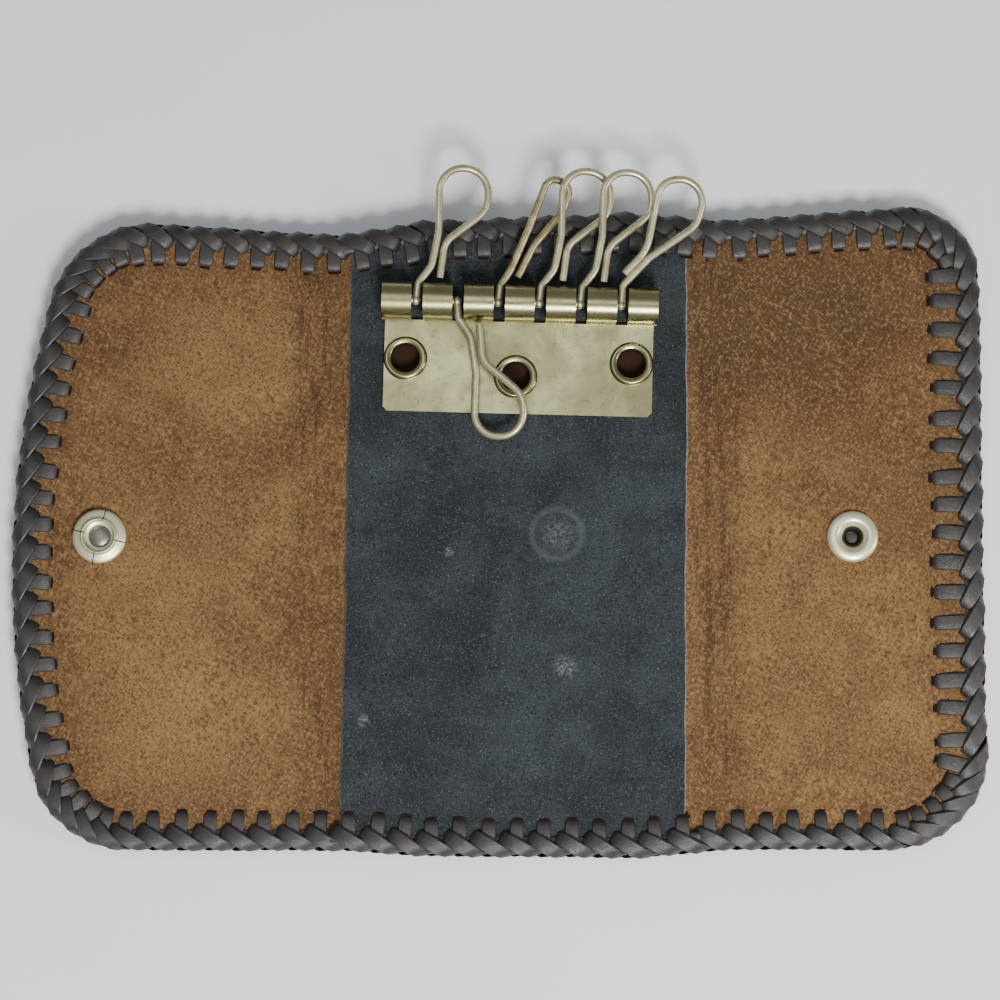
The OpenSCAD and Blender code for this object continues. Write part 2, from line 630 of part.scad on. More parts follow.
module snap_stud() color("gainsboro") in_frame() translate([stud_x, snap_y, leather_lift])
  mirror([0, 0, 1]) rotate_extrude() {
    flange = stud_flange_diameter / 2;
    hollow = stud_hollow_diameter / 2;
    head = shared(stud_head_diameter / 2, stud_rise, stud_x_shares, stud_z_shares);
    step = stud_flange_thickness;
    post = post_diameter / 2;
    polygon(concat(
      [[post, 0], [flange, 0], [flange, step / 2], [flange - step / 2, step], [head[0][0], step]],
      head,
      [[hollow, stud_rise], [hollow, step], [post, step]]
    ));
  }

module stud_eyelet() color("gainsboro") in_frame() translate([stud_x, snap_y, 0]) rotate_extrude() {
  tube = post_diameter / 2;
  bore = stud_eyelet_bore / 2;
  clinch = stud_hollow_diameter / 2 - clinch_room;
  seat = leather_lift - stud_flange_thickness;
  ring = shared(stud_eyelet_diameter / 2, stud_eyelet_rise, stud_eyelet_x_shares, stud_eyelet_z_shares);
  polygon(concat(
    [[bore, seat - clinch_thickness], [clinch, seat - clinch_thickness], [clinch, seat], [tube, seat]],
    [[tube, leather_top]],
    [for (p = ring) [p[0], leather_top + p[1]]],
    [[bore, leather_top - ring[5][1]]]
  ));
}

centre_panel();
liner();
centre_top_lacing();
centre_bottom_lacing();
key_plate();
plate_eyelets();
left_strip();
liner_left_edge();
left_strip_lacing();
left_flap();
left_flap_lacing();
snap_cap();
snap_socket();
right_strip();
right_strip_lacing();
right_flap();
right_flap_lacing();
snap_stud();
stud_eyelet();
plain_hook(1, hook_rest_angle);  // key_hook_1
plain_hook(2, hook_down_angle);  // key_hook_2
narrow_hook(3);  // key_hook_3
plain_hook(4, hook_rest_angle);  // key_hook_4
plain_hook(5, hook_rest_angle);  // key_hook_5
leaning_hook(6);  // key_hook_6
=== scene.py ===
# %% [markdown]
# # A laced leather key case, open, seen from above
#
# The case is one hide, suede side up, with a navy liner on its middle panel and a flat lace braided round
# its whole edge. A nickel plate with a rolled barrel holds six swinging wire hooks, and a snap closes the
# flaps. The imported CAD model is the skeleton: most metal parts stay as they are and get real finishes.
# Everything soft is remade here, because leather and lace have forms that a solid made of flat cuts
# doesn't show.

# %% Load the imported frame
import json
import math

import bmesh
import bpy
import numpy as np
from mathutils import Matrix, Vector

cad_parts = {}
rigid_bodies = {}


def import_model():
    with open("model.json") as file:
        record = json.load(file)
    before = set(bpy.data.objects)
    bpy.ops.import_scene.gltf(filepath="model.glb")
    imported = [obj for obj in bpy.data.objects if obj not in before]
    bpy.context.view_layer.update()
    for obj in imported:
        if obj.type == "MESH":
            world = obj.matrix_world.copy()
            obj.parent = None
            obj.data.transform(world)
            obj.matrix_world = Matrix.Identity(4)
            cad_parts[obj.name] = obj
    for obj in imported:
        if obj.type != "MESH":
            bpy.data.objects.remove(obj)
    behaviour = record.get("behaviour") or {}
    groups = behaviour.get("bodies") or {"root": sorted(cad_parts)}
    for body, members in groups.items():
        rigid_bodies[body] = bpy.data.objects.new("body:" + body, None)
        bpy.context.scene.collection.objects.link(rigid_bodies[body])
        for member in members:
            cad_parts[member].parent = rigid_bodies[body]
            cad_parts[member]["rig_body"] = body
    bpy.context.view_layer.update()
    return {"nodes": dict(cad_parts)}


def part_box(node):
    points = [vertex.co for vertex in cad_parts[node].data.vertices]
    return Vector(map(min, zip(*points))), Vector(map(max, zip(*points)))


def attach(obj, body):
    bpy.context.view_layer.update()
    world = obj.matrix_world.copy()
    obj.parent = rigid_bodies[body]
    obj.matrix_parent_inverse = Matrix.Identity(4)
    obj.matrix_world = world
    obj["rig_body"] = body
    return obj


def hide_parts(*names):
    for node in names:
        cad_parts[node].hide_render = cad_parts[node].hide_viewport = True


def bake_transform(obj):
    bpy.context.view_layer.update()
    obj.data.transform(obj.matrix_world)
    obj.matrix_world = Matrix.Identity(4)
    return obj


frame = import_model()
MM = 0.001

# %% [markdown]
# ## Camera
#
# The case was photographed from almost straight above, tipped a few degrees towards its lower edge. A
# long lens from nearly half a metre keeps the sides parallel. The lens length follows from the width of
# the view at the leather, so that a millimetre of the case covers the same part of the picture as in the
# photograph.

# %% Camera over the case
def linked(name, data):
    """A new object with this data, in the scene."""
    thing = bpy.data.objects.new(name, data)
    bpy.context.scene.collection.objects.link(thing)
    return thing


VIEW_TARGET = Vector((-0.2, 1.6, 4.25)) * MM
VIEW_DISTANCE = 0.45
VIEW_TILT = math.radians(5.0)
VIEW_WIDTH = 163.6 * MM
SENSOR = 36.0

camera_data = bpy.data.cameras.new("view_from_above")
camera_data.sensor_width = SENSOR
camera_data.lens = SENSOR * VIEW_DISTANCE / VIEW_WIDTH
camera_data.clip_start = 0.01
camera = linked("view_from_above", camera_data)
camera.location = VIEW_TARGET + VIEW_DISTANCE * Vector((0, -math.sin(VIEW_TILT), math.cos(VIEW_TILT)))
camera.rotation_euler = (VIEW_TILT, 0, 0)
bpy.context.scene.camera = camera
print("lens in mm:", round(camera_data.lens, 1))

# %% [markdown]
# ## Light and floor
#
# The photograph has one soft window from the lower right, and a bright room round it. Two area lights
# stand for the window, one high and one low at the right, which brightens the lace at the left edge. A
# wide pale one overhead is the ceiling that the flat plate mirrors, and an even grey world is the room.

# %% Window, side light, ceiling and room
def area_light(name, place, size, power, tint):
    """A square light at place, in metres, that faces the case."""
    data = bpy.data.lights.new(name, "AREA")
    data.size = size
    data.energy = power
    data.color = tint
    light = linked(name, data)
    light.location = place
    light.rotation_euler = (VIEW_TARGET - Vector(place)).to_track_quat("-Z", "Y").to_euler()


area_light("window", (0.11, -0.38, 0.52), 0.20, 6.6, (1.0, 0.985, 0.955))
area_light("side", (0.56, -0.14, 0.24), 0.14, 1.5, (1.0, 0.985, 0.955))
area_light("ceiling", (-0.16, 0.16, 0.95), 0.50, 2.0, (0.96, 0.985, 1.0))
world = bpy.data.worlds.new("room")
bpy.context.scene.world = world
world.use_nodes = True
world.node_tree.nodes["Background"].inputs["Color"].default_value = (0.50, 0.52, 0.54, 1)
world.node_tree.nodes["Background"].inputs["Strength"].default_value = 0.62


# %% [markdown]
# ## Helpers for materials
#
# Every finish is made of nodes. A few short functions keep the building of a node tree readable: one adds
# a node and links its inputs, one makes a group with named sockets, and one starts a material around a
# Principled shader.

# %% Node helpers
def srgb(red, green, blue):
    """A colour read off a photograph, 0 to 255, as the linear colour that shaders use."""
    channels = [c / 255 for c in (red, green, blue)]
    return (*[c / 12.92 if c <= 0.04045 else ((c + 0.055) / 1.055) ** 2.4 for c in channels], 1.0)


def add(tree, kind, inputs=None, **settings):
    """Adds a node, with its settings, and fills its inputs with values or with sockets to link."""
    node = tree.nodes.new(kind)
    for key, value in settings.items():
        setattr(node, key, value)
    for key, value in (inputs or {}).items():
        if isinstance(value, bpy.types.NodeSocket):
            tree.links.new(value, node.inputs[key])
        else:
            node.inputs[key].default_value = value
    return node


def math_node(tree, operation, a, b=0.0):
    return add(tree, "ShaderNodeMath", {0: a, 1: b}, operation=operation).outputs[0]


def times(tree, a, b):
    return math_node(tree, "MULTIPLY", a, b)


def strongest(tree, masks):
    """The highest of several masks at each place."""
    highest = masks[0]
    for mask in masks[1:]:
        highest = math_node(tree, "MAXIMUM", highest, mask)
    return highest


def mix_colour(tree, share, a, b):
    return add(tree, "ShaderNodeMix", {0: share, 6: a, 7: b}, data_type="RGBA").outputs[2]


def ramp_value(tree, value, low, high, to_low=0.0, to_high=1.0):
    """Value goes smoothly from to_low to to_high as the input goes from low to high."""
    inputs = {"Value": value, "From Min": low, "From Max": high, "To Min": to_low, "To Max": to_high}
    return add(tree, "ShaderNodeMapRange", inputs, interpolation_type="SMOOTHSTEP").outputs[0]


def tinted(tree, tone, mask, colour, *limits):
    """Lays a colour over the tone where a mask says; limits, if given, remap the mask as in ramp_value."""
    return mix_colour(tree, ramp_value(tree, mask, *limits) if limits else mask, tone, colour)


def noise(tree, place, size, detail=3.0, roughness=0.55, distortion=0.0):
    """Noise whose lumps are about size millimetres across; size may be a number or a socket."""
    if isinstance(size, bpy.types.NodeSocket):
        scale = math_node(tree, "DIVIDE", 1.0 / MM, size)
    else:
        scale = 1.0 / (size * MM)
    inputs = {"Vector": place, "Scale": scale, "Detail": detail, "Roughness": roughness,
              "Distortion": distortion}
    return add(tree, "ShaderNodeTexNoise", inputs).outputs[0]


def stretched(tree, place, turn, stretch):
    """The same place, but a pattern read there is drawn out, stretch times, along a line turned about Z."""
    inputs = {"Vector": place, "Rotation": (0, 0, turn), "Scale": (stretch, 1.0, 1.0)}
    return add(tree, "ShaderNodeMapping", inputs, vector_type="TEXTURE").outputs[0]


# %% Group and material helpers
def shader_group(name, inputs, outputs):
    """An empty shader group with named inputs (name: type or default) and outputs (name: type)."""
    tree = bpy.data.node_groups.new(name, "ShaderNodeTree")
    for key, value in inputs.items():
        kind = "NodeSocketFloat"
        if isinstance(value, tuple):
            kind = "NodeSocketColor" if len(value) == 4 else "NodeSocketVector"
        socket = tree.interface.new_socket(key, in_out="INPUT", socket_type=kind)
        socket.default_value = value
    for key, kind in outputs.items():
        tree.interface.new_socket(key, in_out="OUTPUT", socket_type=kind)
    return tree, add(tree, "NodeGroupInput"), add(tree, "NodeGroupOutput")


def use_group(tree, group, inputs):
    """Places a shader group and fills its inputs."""
    return add(tree, "ShaderNodeGroup", inputs, node_tree=group)


def new_material(name, **constants):
    """A material with one Principled shader, whose even values are set straight on its sockets."""
    material = bpy.data.materials.new(name)
    material.use_nodes = True
    tree = material.node_tree
    shader = tree.nodes["Principled BSDF"]
    for key, value in constants.items():
        shader.inputs[key.replace("_", " ")].default_value = value
    place = add(tree, "ShaderNodeTexCoord").outputs["Object"]
    return material, tree, shader, place


def bump(tree, height, depth, strength=1.0):
    """A Bump node whose height of 1 stands depth millimetres proud."""
    inputs = {"Height": height, "Distance": depth * MM, "Strength": strength}
    return add(tree, "ShaderNodeBump", inputs).outputs[0]


def complete(tree, shader, tone, height, depth, strength, dull=None):
    """Links a finish's colour, its bump and, where it isn't even, its roughness to the shader."""
    tree.links.new(tone, shader.inputs["Base Color"])
    tree.links.new(bump(tree, height, depth, strength), shader.inputs["Normal"])
    if dull:
        tree.links.new(dull, shader.inputs["Roughness"])


# %% [markdown]
# ## Effects that several finishes share
#
# Suede, liner and grain leather all have cloudy patches, finer flecks and a short nap, only at other
# sizes. One group gives these three as plain masks. A second group marks one place on the case, with a
# soft rim, for rubbed patches, press marks and places of painted light and shade. A third draws fine
# scratches, for metal and for the liner.

# %% Group: mottling
mottling, given, result = shader_group(
    "mottling",
    {"Place": (0.0, 0.0, 0.0), "Patch size": 12.0, "Fleck size": 0.8, "Nap size": 0.25, "Nap stretch": 2.5},
    {"Patches": "NodeSocketFloat", "Flecks": "NodeSocketFloat", "Nap": "NodeSocketFloat"},
)
NAP_ANGLES = (1.1, -0.6)
where = given.outputs["Place"]
patches = noise(mottling, where, given.outputs["Patch size"], 4.0, 0.62, 0.4)
flecks = noise(mottling, where, given.outputs["Fleck size"], 3.0, 0.6, 0.6)
naps = []
for angle in NAP_ANGLES:
    axes = {0: given.outputs["Nap stretch"], 1: 1.0, 2: 1.0}
    turned = add(mottling, "ShaderNodeMapping", {
        "Vector": where, "Rotation": (0, 0, angle),
        "Scale": add(mottling, "ShaderNodeCombineXYZ", axes).outputs[0],
    }, vector_type="TEXTURE")
    naps.append(noise(mottling, turned.outputs[0], given.outputs["Nap size"], 2.0, 0.5))
nap = times(mottling, math_node(mottling, "ADD", *naps), 0.5)
for key, socket in (("Patches", patches), ("Flecks", flecks), ("Nap", nap)):
    mottling.links.new(socket, result.inputs[key])
print("group:", mottling.name, [n.name for n in mottling.interface.items_tree])


def mottled(tree, place, patch_size, fleck_size, nap_size, nap_stretch):
    """The patches, flecks and nap of the mottling group, as three sockets; sizes in millimetres."""
    inputs = {"Place": place, "Patch size": patch_size, "Fleck size": fleck_size, "Nap size": nap_size,
              "Nap stretch": nap_stretch}
    node = use_group(tree, mottling, inputs)
    return [node.outputs[key] for key in ("Patches", "Flecks", "Nap")]


# %% Group: one marked place
marked_place, given, result = shader_group(
    "marked_place",
    {"Place": (0.0, 0.0, 0.0), "Centre": (0.0, 0.0, 0.0), "Reach": 10.0, "Raggedness": 0.25},
    {"Inside": "NodeSocketFloat", "Rim": "NodeSocketFloat"},
)
level = {0: given.outputs["Place"], 1: (1, 1, 0)}
flat = add(marked_place, "ShaderNodeVectorMath", level, operation="MULTIPLY").outputs[0]
ends = {0: flat, 1: given.outputs["Centre"]}
gap = add(marked_place, "ShaderNodeVectorMath", ends, operation="DISTANCE").outputs["Value"]
share = math_node(marked_place, "DIVIDE", gap, times(marked_place, given.outputs["Reach"], MM))
ragged = math_node(marked_place, "SUBTRACT", noise(marked_place, given.outputs["Place"], 5.0, 4.0), 0.5)
share = math_node(marked_place, "ADD", share, times(marked_place, ragged, given.outputs["Raggedness"]))
marked_place.links.new(ramp_value(marked_place, share, 0.25, 1.0, 1.0, 0.0), result.inputs["Inside"])
off_rim = math_node(marked_place, "ABSOLUTE", math_node(marked_place, "SUBTRACT", share, 0.9))
marked_place.links.new(ramp_value(marked_place, off_rim, 0.0, 0.2, 1.0, 0.0), result.inputs["Rim"])
print("group:", marked_place.name)


def mark(tree, place, x, y, reach, raggedness=0.35):
    """The mask group for one place of the case, x and y in millimetres."""
    inputs = {"Place": place, "Centre": (x * MM, y * MM, 0), "Reach": reach, "Raggedness": raggedness}
    return use_group(tree, marked_place, inputs)


# %% Group: scratches
scratches, given, result = shader_group(
    "scratches",
    {"Place": (0.0, 0.0, 0.0), "Length": 12.0, "Amount": 0.5},
    {"Lines": "NodeSocketFloat"},
)
SCRATCH_RUNS = ((0.35, 0.013), (-0.9, 0.031), (1.45, 0.007))
SCRATCH_STRETCH, SCRATCHES_PER_M = 24.0, 1800.0
lines = []
for angle, shift in SCRATCH_RUNS:
    apart = {0: given.outputs["Place"], 1: (shift, -shift, 0)}
    moved = add(scratches, "ShaderNodeVectorMath", apart, operation="ADD").outputs[0]
    drawn = stretched(scratches, moved, angle, SCRATCH_STRETCH)
    drawn = {"Vector": drawn, "Scale": SCRATCHES_PER_M, "Detail": 1.0}
    fine = add(scratches, "ShaderNodeTexNoise", drawn).outputs[0]
    wide = noise(scratches, moved, given.outputs["Length"], 2.0)
    lines.append(times(scratches, ramp_value(scratches, fine, 0.64, 0.72),
                       ramp_value(scratches, wide, 0.48, 0.6)))
lines = times(scratches, strongest(scratches, lines), given.outputs["Amount"])
scratches.links.new(lines, result.inputs["Lines"])
print("group:", scratches.name)

# %% [markdown]
# ## Suede, the flesh side of the hide
#
# Suede is a nap of short fibres, so it has no gloss, a soft bright rim, and a colour that shifts from
# golden where it is rubbed to red-brown where the nap stands. The colours are mixed from the mottling
# masks. A few wide places are golden: rubbed wear and, at the bottom, painted light as well; others are
# painted shade, mostly towards the top. The folds beside the liner get painted shade, deepest in their
# upright creases. Dirt darkens the suede along the braid, and painted shade darkens it round each slit.

# %% Material: suede
# Each place is x, y and reach in millimetres, and how strongly it shows.
# The golden places are rubbed wear and, at the bottom, painted light; the shaded ones are painted shade.
RUBBED_AND_LIT_PLACES = ((-52, -4, 20, 0.16), (-44, 24, 15, 0.26), (-52, -34, 20, 0.4), (56, -24, 26, 0.16))
SHADED_PLACES = (
    (46, 30, 24, 0.75), (64, 36, 16, 0.6), (-62, 36, 20, 0.35), (-70, -44, 12, 0.25), (66, 6, 12, 0.3),
    (-50, 4, 18, 0.3),
)
# Fold strips that get painted shade: the middle x and the half width, in millimetres.
CREASED_FOLDS = ((-30.0, 6.5), (35.0, 6.0))

suede, tree, shader, place = new_material(
    "suede_brown", Roughness=0.95, Sheen_Weight=0.25, Sheen_Roughness=0.5,
    Sheen_Tint=srgb(215, 185, 145), Specular_IOR_Level=0.15)
patches, flecks, nap = mottled(tree, place, 13.0, 0.9, 0.28, 2.6)
fine_patches, fine_flecks, _ = mottled(tree, place, 3.2, 0.45, 0.5, 3.0)
tone = mix_colour(tree, ramp_value(tree, patches, 0.32, 0.7), srgb(90, 64, 40), srgb(115, 87, 55))
tone = tinted(tree, tone, fine_patches, srgb(74, 52, 34), 0.45, 0.75, 0.0, 0.5)
# Golden places: rubbed wear and, at the bottom, painted light; then places of painted shade.
for places, colour in ((RUBBED_AND_LIT_PLACES, srgb(132, 106, 69)), (SHADED_PLACES, srgb(66, 48, 32))):
    for x, y, reach, strength in places:
        inside = mark(tree, place, x, y, reach).outputs["Inside"]
        tone = tinted(tree, tone, times(tree, inside, strength), colour)
furrows = noise(tree, stretched(tree, place, math.pi / 2, 9.0), 1.5, 3.0, 0.6)
axis_x = add(tree, "ShaderNodeSeparateXYZ", {0: place}).outputs["X"]
bands = []
for fold_x, half in CREASED_FOLDS:
    away = math_node(tree, "ABSOLUTE", math_node(tree, "SUBTRACT", axis_x, fold_x * MM))
    bands.append(ramp_value(tree, away, half * 0.35 * MM, half * MM, 1.0, 0.0))
fold_shade = strongest(tree, bands)
# Painted shade over the fold strips, deepest in the furrows of their creases; the furrows also bump.
tone = tinted(tree, tone, times(tree, fold_shade, 0.42), srgb(70, 50, 33))
crease_shade_and_bump = times(tree, fold_shade, ramp_value(tree, furrows, 0.52, 0.66))
tone = tinted(tree, tone, times(tree, crease_shade_and_bump, 0.55), srgb(52, 36, 25))
# Dirt along the braid and painted shade round each slit, from the slab's attribute.
slit_shade_and_dirt_mask = add(tree, "ShaderNodeAttribute", attribute_name="slit_shade_and_dirt").outputs["Fac"]
tone = tinted(tree, tone, times(tree, slit_shade_and_dirt_mask, 0.55), srgb(62, 42, 29))
tone = tinted(tree, tone, nap, srgb(146, 121, 84), 0.5, 0.64, 0.0, 0.42)
tone = tinted(tree, tone, nap, srgb(55, 40, 27), 0.36, 0.5, 0.75, 0.0)
tone = tinted(tree, tone, fine_flecks, srgb(54, 38, 27), 0.58, 0.74, 0.0, 0.35)
height = math_node(tree, "ADD", nap, times(tree, fine_flecks, 0.6))
height = math_node(tree, "SUBTRACT", height, times(tree, crease_shade_and_bump, 1.2))
complete(tree, shader, tone, height, 0.13, 0.9)
print("material:", suede.name, "with", len(tree.nodes), "nodes")

# %% [markdown]
# ## Grain leather, the outside of the hide
#
# The outside is dyed and smooth: close-set grain cells with creases between them. Voronoi cells, with
# their distance to the edge, give that pattern, and the valleys are a little darker and duller than the
# tops.

# %% Material: grain leather
GRAIN_WARP, GRAIN_CELLS_PER_M = 0.0006, 1100.0

grain_leather, tree, shader, place = new_material("grain_leather_dark", Specular_IOR_Level=0.45)
patches, flecks, nap = mottled(tree, place, 16.0, 1.6, 0.4, 1.5)
warp = noise(tree, place, 2.4, 2.0)
warp = add(tree, "ShaderNodeCombineXYZ", {0: warp, 1: warp}).outputs[0]
warp = add(tree, "ShaderNodeVectorMath", {0: warp, 3: GRAIN_WARP}, operation="SCALE").outputs[0]
bent = add(tree, "ShaderNodeVectorMath", {0: place, 1: warp}, operation="ADD").outputs[0]
grain = {"Vector": bent, "Scale": GRAIN_CELLS_PER_M}
cells = add(tree, "ShaderNodeTexVoronoi", grain, feature="DISTANCE_TO_EDGE").outputs[0]
tops = ramp_value(tree, cells, 0.0, 0.22)
tone = mix_colour(tree, patches, srgb(52, 38, 32), srgb(78, 56, 44))
tone = tinted(tree, tone, tops, srgb(30, 22, 19), 0.0, 0.4, 0.6, 0.0)
dull = math_node(tree, "ADD", ramp_value(tree, tops, 0.0, 1.0, 0.62, 0.42), times(tree, flecks, 0.12))
height = math_node(tree, "ADD", tops, times(tree, nap, 0.4))
complete(tree, shader, tone, height, 0.07, 0.8, dull)
print("material:", grain_leather.name)

# %% [markdown]
# ## Navy liner
#
# The liner is a thin napped leather, dyed navy, matt, with paler flecks where the dye is thin. Use has
# left light scuffs on it and the ring that the snap presses into it when the case is shut. Its cut edge
# shows the undyed inside of the skin, so that edge gets a pale fibrous finish of its own.

# %% Material: liner
SCUFFS = ((-8.5, -7.0, 1.2, 0.55), (-22.3, -34.4, 1.3, 0.4), (10.4, -25.8, 2.6, 0.45), (9.1, -4.1, 4.0, 0.22))
SNAP_RING = (9.1, -4.1, 4.5, 0.25)

navy_liner, tree, shader, place = new_material(
    "liner_navy", Roughness=0.85, Sheen_Weight=0.12, Sheen_Roughness=0.4,
    Sheen_Tint=srgb(150, 165, 185), Specular_IOR_Level=0.2)
patches, flecks, nap = mottled(tree, place, 11.0, 0.5, 0.3, 1.8)
_, fine_flecks, _ = mottled(tree, place, 2.6, 0.24, 0.6, 2.2)
tone = mix_colour(tree, ramp_value(tree, patches, 0.35, 0.7), srgb(29, 33, 36), srgb(45, 50, 53))
tone = tinted(tree, tone, fine_flecks, srgb(96, 101, 102), 0.55, 0.72, 0.0, 0.7)
tone = tinted(tree, tone, nap, srgb(15, 18, 21), 0.36, 0.5, 0.75, 0.0)
worn = use_group(tree, scratches, {"Place": place, "Length": 9.0, "Amount": 0.03}).outputs["Lines"]
tone = tinted(tree, tone, worn, srgb(118, 120, 124))
for x, y, reach, strength in SCUFFS:
    spot = mark(tree, place, x, y, reach, 0.9).outputs["Inside"]
    spotted = times(tree, spot, ramp_value(tree, flecks, 0.4, 0.62, 0.0, strength))
    tone = tinted(tree, tone, spotted, srgb(128, 130, 134))
snap_ring = mark(tree, place, *SNAP_RING).outputs["Rim"]
tone = tinted(tree, tone, times(tree, snap_ring, 0.16), srgb(105, 112, 120))
height = math_node(tree, "ADD", fine_flecks, times(tree, nap, 0.6))
height = math_node(tree, "SUBTRACT", height, times(tree, snap_ring, 0.8))
complete(tree, shader, tone, height, 0.07, 0.7)
print("material:", navy_liner.name)

# %% Material: cut edge of the liner
cut_edge, tree, shader, place = new_material("liner_cut_edge", Roughness=0.9, Specular_IOR_Level=0.2)
fibres = noise(tree, stretched(tree, place, 0.0, 0.25), 0.5, 3.0)
tone = mix_colour(tree, ramp_value(tree, fibres, 0.35, 0.65), srgb(74, 78, 84), srgb(150, 150, 148))
complete(tree, shader, tone, fibres, 0.1, 0.6)
print("material:", cut_edge.name)

# %% [markdown]
# ## Lace
#
# The lace is a thin strip of dyed leather with a satin face: dark, with soft highlights where it turns
# over. Each stitch gets its own shade from an attribute that the lacing tree stores, and fine lengthwise
# lines from the strip's own UV map, so that the lines turn with the lace. The slits in the leather, and
# the slits of the snap's socket, get a near-black painted shadow.

# %% Material: lace
lace, tree, shader, place = new_material("lace_satin", Specular_IOR_Level=0.6)
own_tone = add(tree, "ShaderNodeAttribute", attribute_name="tone").outputs["Fac"]
along = add(tree, "ShaderNodeUVMap", uv_map="UVMap").outputs[0]
patches, flecks, nap = mottled(tree, place, 3.0, 0.7, 0.22, 2.0)
strands = add(tree, "ShaderNodeMapping", {"Vector": along, "Scale": (7.0, 0.9, 1.0)}).outputs[0]
threads = add(tree, "ShaderNodeTexNoise", {"Vector": strands, "Scale": 2.2, "Detail": 3.0}).outputs[0]
tone = mix_colour(tree, own_tone, srgb(17, 14, 14), srgb(33, 29, 28))
tone = tinted(tree, tone, patches, srgb(44, 38, 34), 0.35, 0.7, 0.0, 0.5)
tone = tinted(tree, tone, threads, srgb(14, 11, 11), 0.3, 0.5, 0.35, 0.0)
dull = math_node(tree, "ADD", ramp_value(tree, flecks, 0.3, 0.7, 0.30, 0.48), times(tree, threads, 0.08))
height = math_node(tree, "ADD", threads, times(tree, nap, 0.7))
complete(tree, shader, tone, height, 0.075, 0.8, dull)
print("material:", lace.name)

# %% Material: painted shadow inside a slit
painted_slit_shadow, tree, shader, place = new_material("slit_shadow_painted", Roughness=0.95, Specular_IOR_Level=0.1)
fibres = noise(tree, place, 0.3, 2.0)
tree.links.new(mix_colour(tree, fibres, srgb(16, 9, 7), srgb(44, 25, 17)), shader.inputs["Base Color"])
print("material:", painted_slit_shadow.name)

# %% [markdown]
# ## Metal
#
# The plate, hooks and snap are nickel on brass: a warm satin grey. What makes metal read as old is uneven
# gloss, so roughness comes from cloudy noise and scratches, and tarnish darkens and yellows a few places.
# The wire has brown spots, and the domed end of the snap's post is darker steel.

# %% Material maker: nickel
def nickel(name, light, dark, tarnish, tarnish_amount, gloss, patch, metallic=1.0):
    """A satin nickel finish; light, dark and tarnish are its colours, gloss its middle roughness."""
    material, tree, shader, place = new_material(name, Metallic=metallic)
    patches, flecks, nap = mottled(tree, place, patch, 0.9, 0.35, 6.0)
    lines = use_group(tree, scratches, {"Place": place, "Length": 7.0, "Amount": 0.3}).outputs["Lines"]
    tone = mix_colour(tree, ramp_value(tree, patches, 0.3, 0.7), dark, light)
    spots = times(tree, ramp_value(tree, flecks, 0.56, 0.72), tarnish_amount)
    tone = tinted(tree, tone, spots, tarnish)
    tone = tinted(tree, tone, times(tree, lines, 0.35), dark)
    dull = ramp_value(tree, patches, 0.3, 0.7, gloss + 0.08, gloss - 0.04)
    dull = math_node(tree, "ADD", dull, times(tree, spots, 0.25))
    dull = math_node(tree, "ADD", dull, times(tree, lines, 0.12))
    height = math_node(tree, "SUBTRACT", times(tree, nap, 0.3), lines)
    complete(tree, shader, tone, height, 0.012, 0.6, dull)
    return material


# %% The metals
POST_END_HEIGHTS = (4.0 * MM, 4.2 * MM)
SNAP_LOOK = (srgb(222, 220, 186), srgb(198, 194, 160), srgb(128, 116, 82), 0.2, 0.38, 5.0, 0.75)
plate_nickel = nickel("nickel_plate", srgb(156, 153, 114), srgb(132, 128, 94), srgb(92, 84, 56),
                      0.3, 0.27, 9.0)
wire_nickel = nickel("nickel_wire", srgb(202, 197, 166), srgb(164, 157, 124), srgb(84, 70, 44),
                     0.65, 0.34, 4.0, 0.8)
old_wire_nickel = nickel("nickel_wire_tarnished", srgb(184, 174, 136), srgb(134, 121, 86), srgb(66, 52, 30),
                         0.85, 0.36, 2.4, 0.8)
snap_nickel = nickel("snap_metal", *SNAP_LOOK)
cap_metal = nickel("snap_cap_metal", *SNAP_LOOK)
tree = cap_metal.node_tree
shader = tree.nodes["Principled BSDF"]
plain = shader.inputs["Base Color"].links[0].from_socket
upwards = {0: tree.nodes["Texture Coordinate"].outputs["Object"]}
upwards = add(tree, "ShaderNodeSeparateXYZ", upwards).outputs["Z"]
post_end = tinted(tree, plain, ramp_value(tree, upwards, *POST_END_HEIGHTS), srgb(112, 112, 106))
tree.links.new(post_end, shader.inputs["Base Color"])
print("metals:", [m.name for m in (plate_nickel, wire_nickel, old_wire_nickel, snap_nickel, cap_metal)])

# %% [markdown]
# ## The outline of the case
#
# Leather, liner and lacing all follow one outline, so it is written once, as a distance: negative inside
# the case, zero on its edge, positive outside. The right edge is straight and the left one bowed. Top and
# bottom swell a little along the middle panel, and all corners are round, the worn lower right one most.
# The outermost lines are read from the frame, so a change of size in the CAD model carries over.

# %% Outline from the frame
def node_box(name):
    """A CAD node's lowest and highest corner, in millimetres."""
    low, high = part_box(name)
    return low / MM, high / MM


left_low, left_high = node_box("left_flap")
right_low, right_high = node_box("right_flap")
strip_low, strip_high = node_box("left_strip")
next_low, next_high = node_box("right_strip")
middle_low, middle_high = node_box("centre_panel")
CASE_RIGHT = right_high.x
LEATHER_LOW, LEATHER_TOP = left_low.z, left_high.z
LINER_TOP = node_box("liner")[1].z
CORNER, WORN_CORNER = 10.8, 14.0  # the lower corner to the right of WORN_SIDE is the worn one
WORN_SIDE = 20.0
BOW_RADIUS = 163.0
BOW_CENTRE = (left_low.x + BOW_RADIUS, -8.21)
TOP_LINE = (
    (-60.94, left_high.y), (-25.6, middle_high.y - 3.6), (-11.6, middle_high.y - 1.3), (21.9, middle_high.y),
    (35.9, middle_high.y - 1.1), (66.2, right_high.y),
)
BOTTOM_LINE = (
    (-63.29, right_low.y + 0.1), (-25.6, right_low.y - 0.1), (-11.6, middle_low.y + 0.3),
    (21.9, middle_low.y), (35.9, right_low.y), (63.0, right_low.y + 0.1),
)
